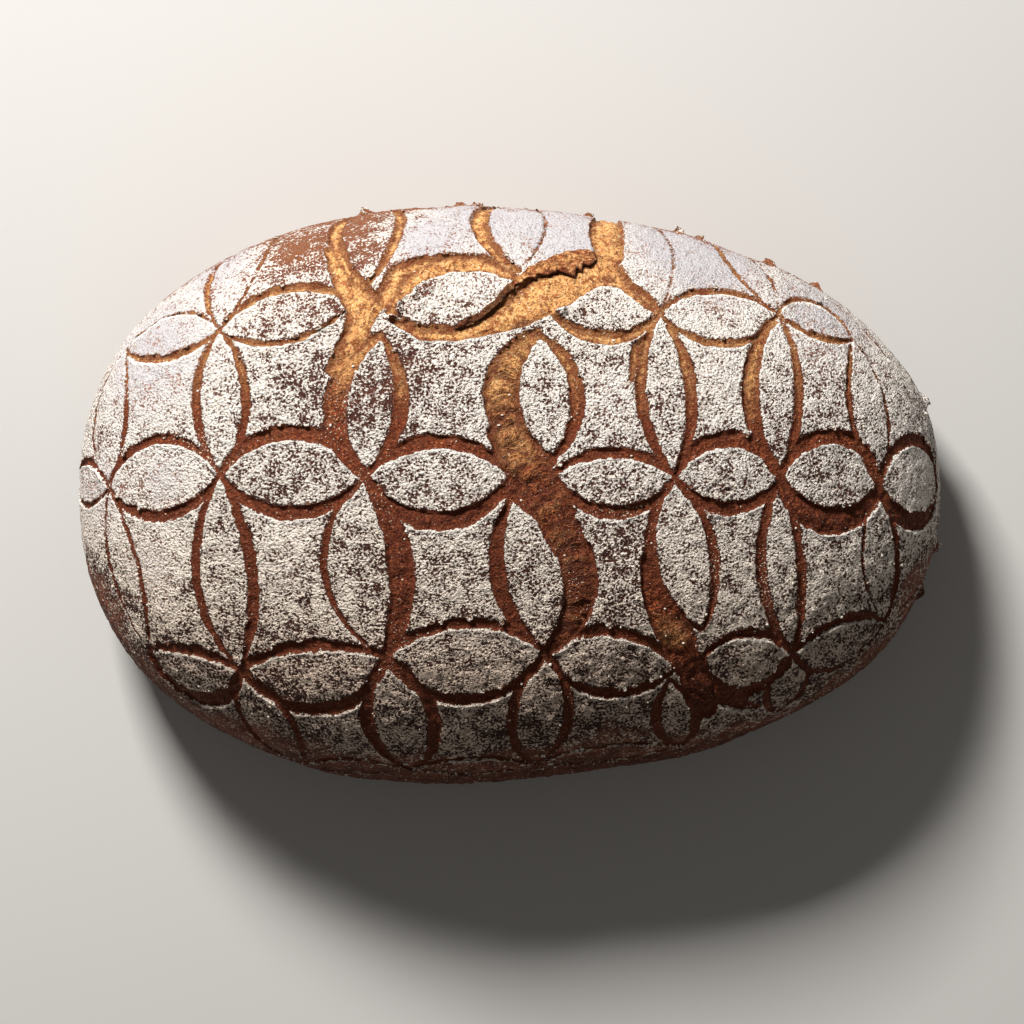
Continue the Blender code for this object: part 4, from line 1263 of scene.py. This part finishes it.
def floured_base(dust):
    """The material of the underside: brown, dull and thinly floured."""
    material, shader, place = new_material("floured base")
    blotch = grainy(place, 14 * MM, 4.0, 0.6, 0.4)
    brown = mixed(blotch.between(0.35, 0.68), (0.34, 0.15, 0.058), (0.17, 0.062, 0.028))
    dusted = use_group(place.tree, dust, Cover=blotch.between(0.62, 0.38) * 0.5, Powder=0.0)
    colour = mixed(dusted["Lies"], brown, (0.66, 0.58, 0.48))
    finish_surface(shader, colour, 0.85, grainy(place, 1.6 * MM, 3.0, 0.6) * 0.4 + dusted["Height"], 0.8)
    return material


def torn_crust(crumb):
    """The rough underside of the curled ear: brown, with dark toasted edges."""
    material, shader, place = new_material("torn crust")
    patchy = grainy(place, 2.6 * MM, 3.0, 0.6, 0.5)
    opened = use_group(place.tree, crumb, Gold=patchy * 1.8 - 0.42, Rim=-4.0, Torn=0.0)
    edge = kept(place.tree, "crest") + (patchy - 0.5) * 1.1
    colour = mixed(edge.between(0.25, 0.8) * 0.85, opened["Colour"], (0.060, 0.017, 0.008))
    finish_surface(shader, colour, 0.85, opened["Height"])
    connect(DULL, shader.inputs["Specular IOR Level"])
    return material


def floured_chip(dust):
    """Thin flakes of skin: floured, with brown showing through."""
    material, shader, place = new_material("floured chip")
    patchy = grainy(place, 2.2 * MM)
    dusted = use_group(place.tree, dust, Cover=patchy * 0.9 + 0.05, Powder=0.0)
    brown = mixed(patchy, (0.07, 0.025, 0.014), (0.26, 0.10, 0.045))
    finish_surface(shader, mixed(dusted["Lies"], brown, (0.78, 0.71, 0.62)), 0.85, dusted["Height"], 0.8)
    return material


def loose_flour():
    """Little clumps of flour, from white to a yellowish cream."""
    material, shader, place = new_material("loose flour")
    tone = grainy(place, 6 * MM, 2.0, 0.6).between(0.35, 0.7)
    finish_surface(shader, mixed(tone, (0.84, 0.79, 0.72), (0.66, 0.54, 0.38)), 0.95)
    return material


# The floor, the lights and the camera

CAMERA_HEIGHT = 1.2
CAMERA_PLACE = (0.84 * MM, -5.9 * MM)
FRAME_WIDTH = 344.9 * MM
SENSOR = 36.0

WINDOW_PLACE = (-0.46, 1.02, 0.93)
FILL_PLACE = (0.7, -0.9, 1.3)
ROOM_LIGHT = 0.09


def pale_floor():
    bpy.ops.object.select_all(action="DESELECT")
    bpy.ops.mesh.primitive_plane_add(size=6, location=(0, 0, -0.2 * MM))
    floor = named("floor")
    material, shader = new_material("pale floor")[:2]
    finish_surface(shader, (0.62, 0.61, 0.59), 0.9)
    floor.data.materials.append(material)


def soft_lamp(name, place, size, watts, colour):
    """A square soft lamp that looks at the loaf."""
    lamp = bpy.data.lights.new(name, "AREA")
    lamp.shape = "SQUARE"
    lamp.size = size
    lamp.energy = watts
    lamp.color = colour
    holder = bpy.data.objects.new(name, lamp)
    bpy.context.scene.collection.objects.link(holder)
    holder.location = place
    aim = Vector((0, 0, 0.04)) - Vector(place)
    holder.rotation_euler = aim.to_track_quat("-Z", "Y").to_euler()


def light_and_camera():
    soft_lamp("window light", WINDOW_PLACE, 0.34, 33.5, (1.0, 0.975, 0.945))
    soft_lamp("fill light", FILL_PLACE, 1.4, 0.7, (1.0, 0.98, 0.96))
    world = bpy.data.worlds.new("dim room")
    world.use_nodes = True
    background = world.node_tree.nodes["Background"]
    connect((1.0, 0.96, 0.92), background.inputs["Color"])
    connect(ROOM_LIGHT, background.inputs["Strength"])
    bpy.context.scene.world = world
    camera = bpy.data.cameras.new("camera")
    camera.lens = SENSOR * (CAMERA_HEIGHT - WIDEST_HEIGHT) / FRAME_WIDTH
    camera.sensor_width = SENSOR
    camera.clip_start = 0.05
    holder = bpy.data.objects.new("camera", camera)
    bpy.context.scene.collection.objects.link(holder)
    holder.location = (*CAMERA_PLACE, CAMERA_HEIGHT)
    bpy.context.scene.camera = holder
    bpy.context.scene.view_settings.view_transform = "Standard"


def build_loaf():
    dust = flour_dust()
    crumb = baked_crumb()
    crust_material = floured_crust(dust, crumb)
    sheet = flat_sheet()
    crust = lay_sheet(sheet)
    pieces = []
    for piece in part_sheet(sheet):
        close_inside(piece)
        unroll(piece)
        pieces.append((piece, crust_material))
    pieces += [(base_disc(), floured_base(dust)), (curled_ear(), torn_crust(crumb)),
               (ragged_chips(crust), floured_chip(dust)), (flour_granules(crust), loose_flour())]
    for piece, material in pieces:
        piece.data.materials.clear()
        piece.data.materials.append(material)
        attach(piece, "root")
        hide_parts("loaf")


pale_floor()
light_and_camera()
build_loaf()
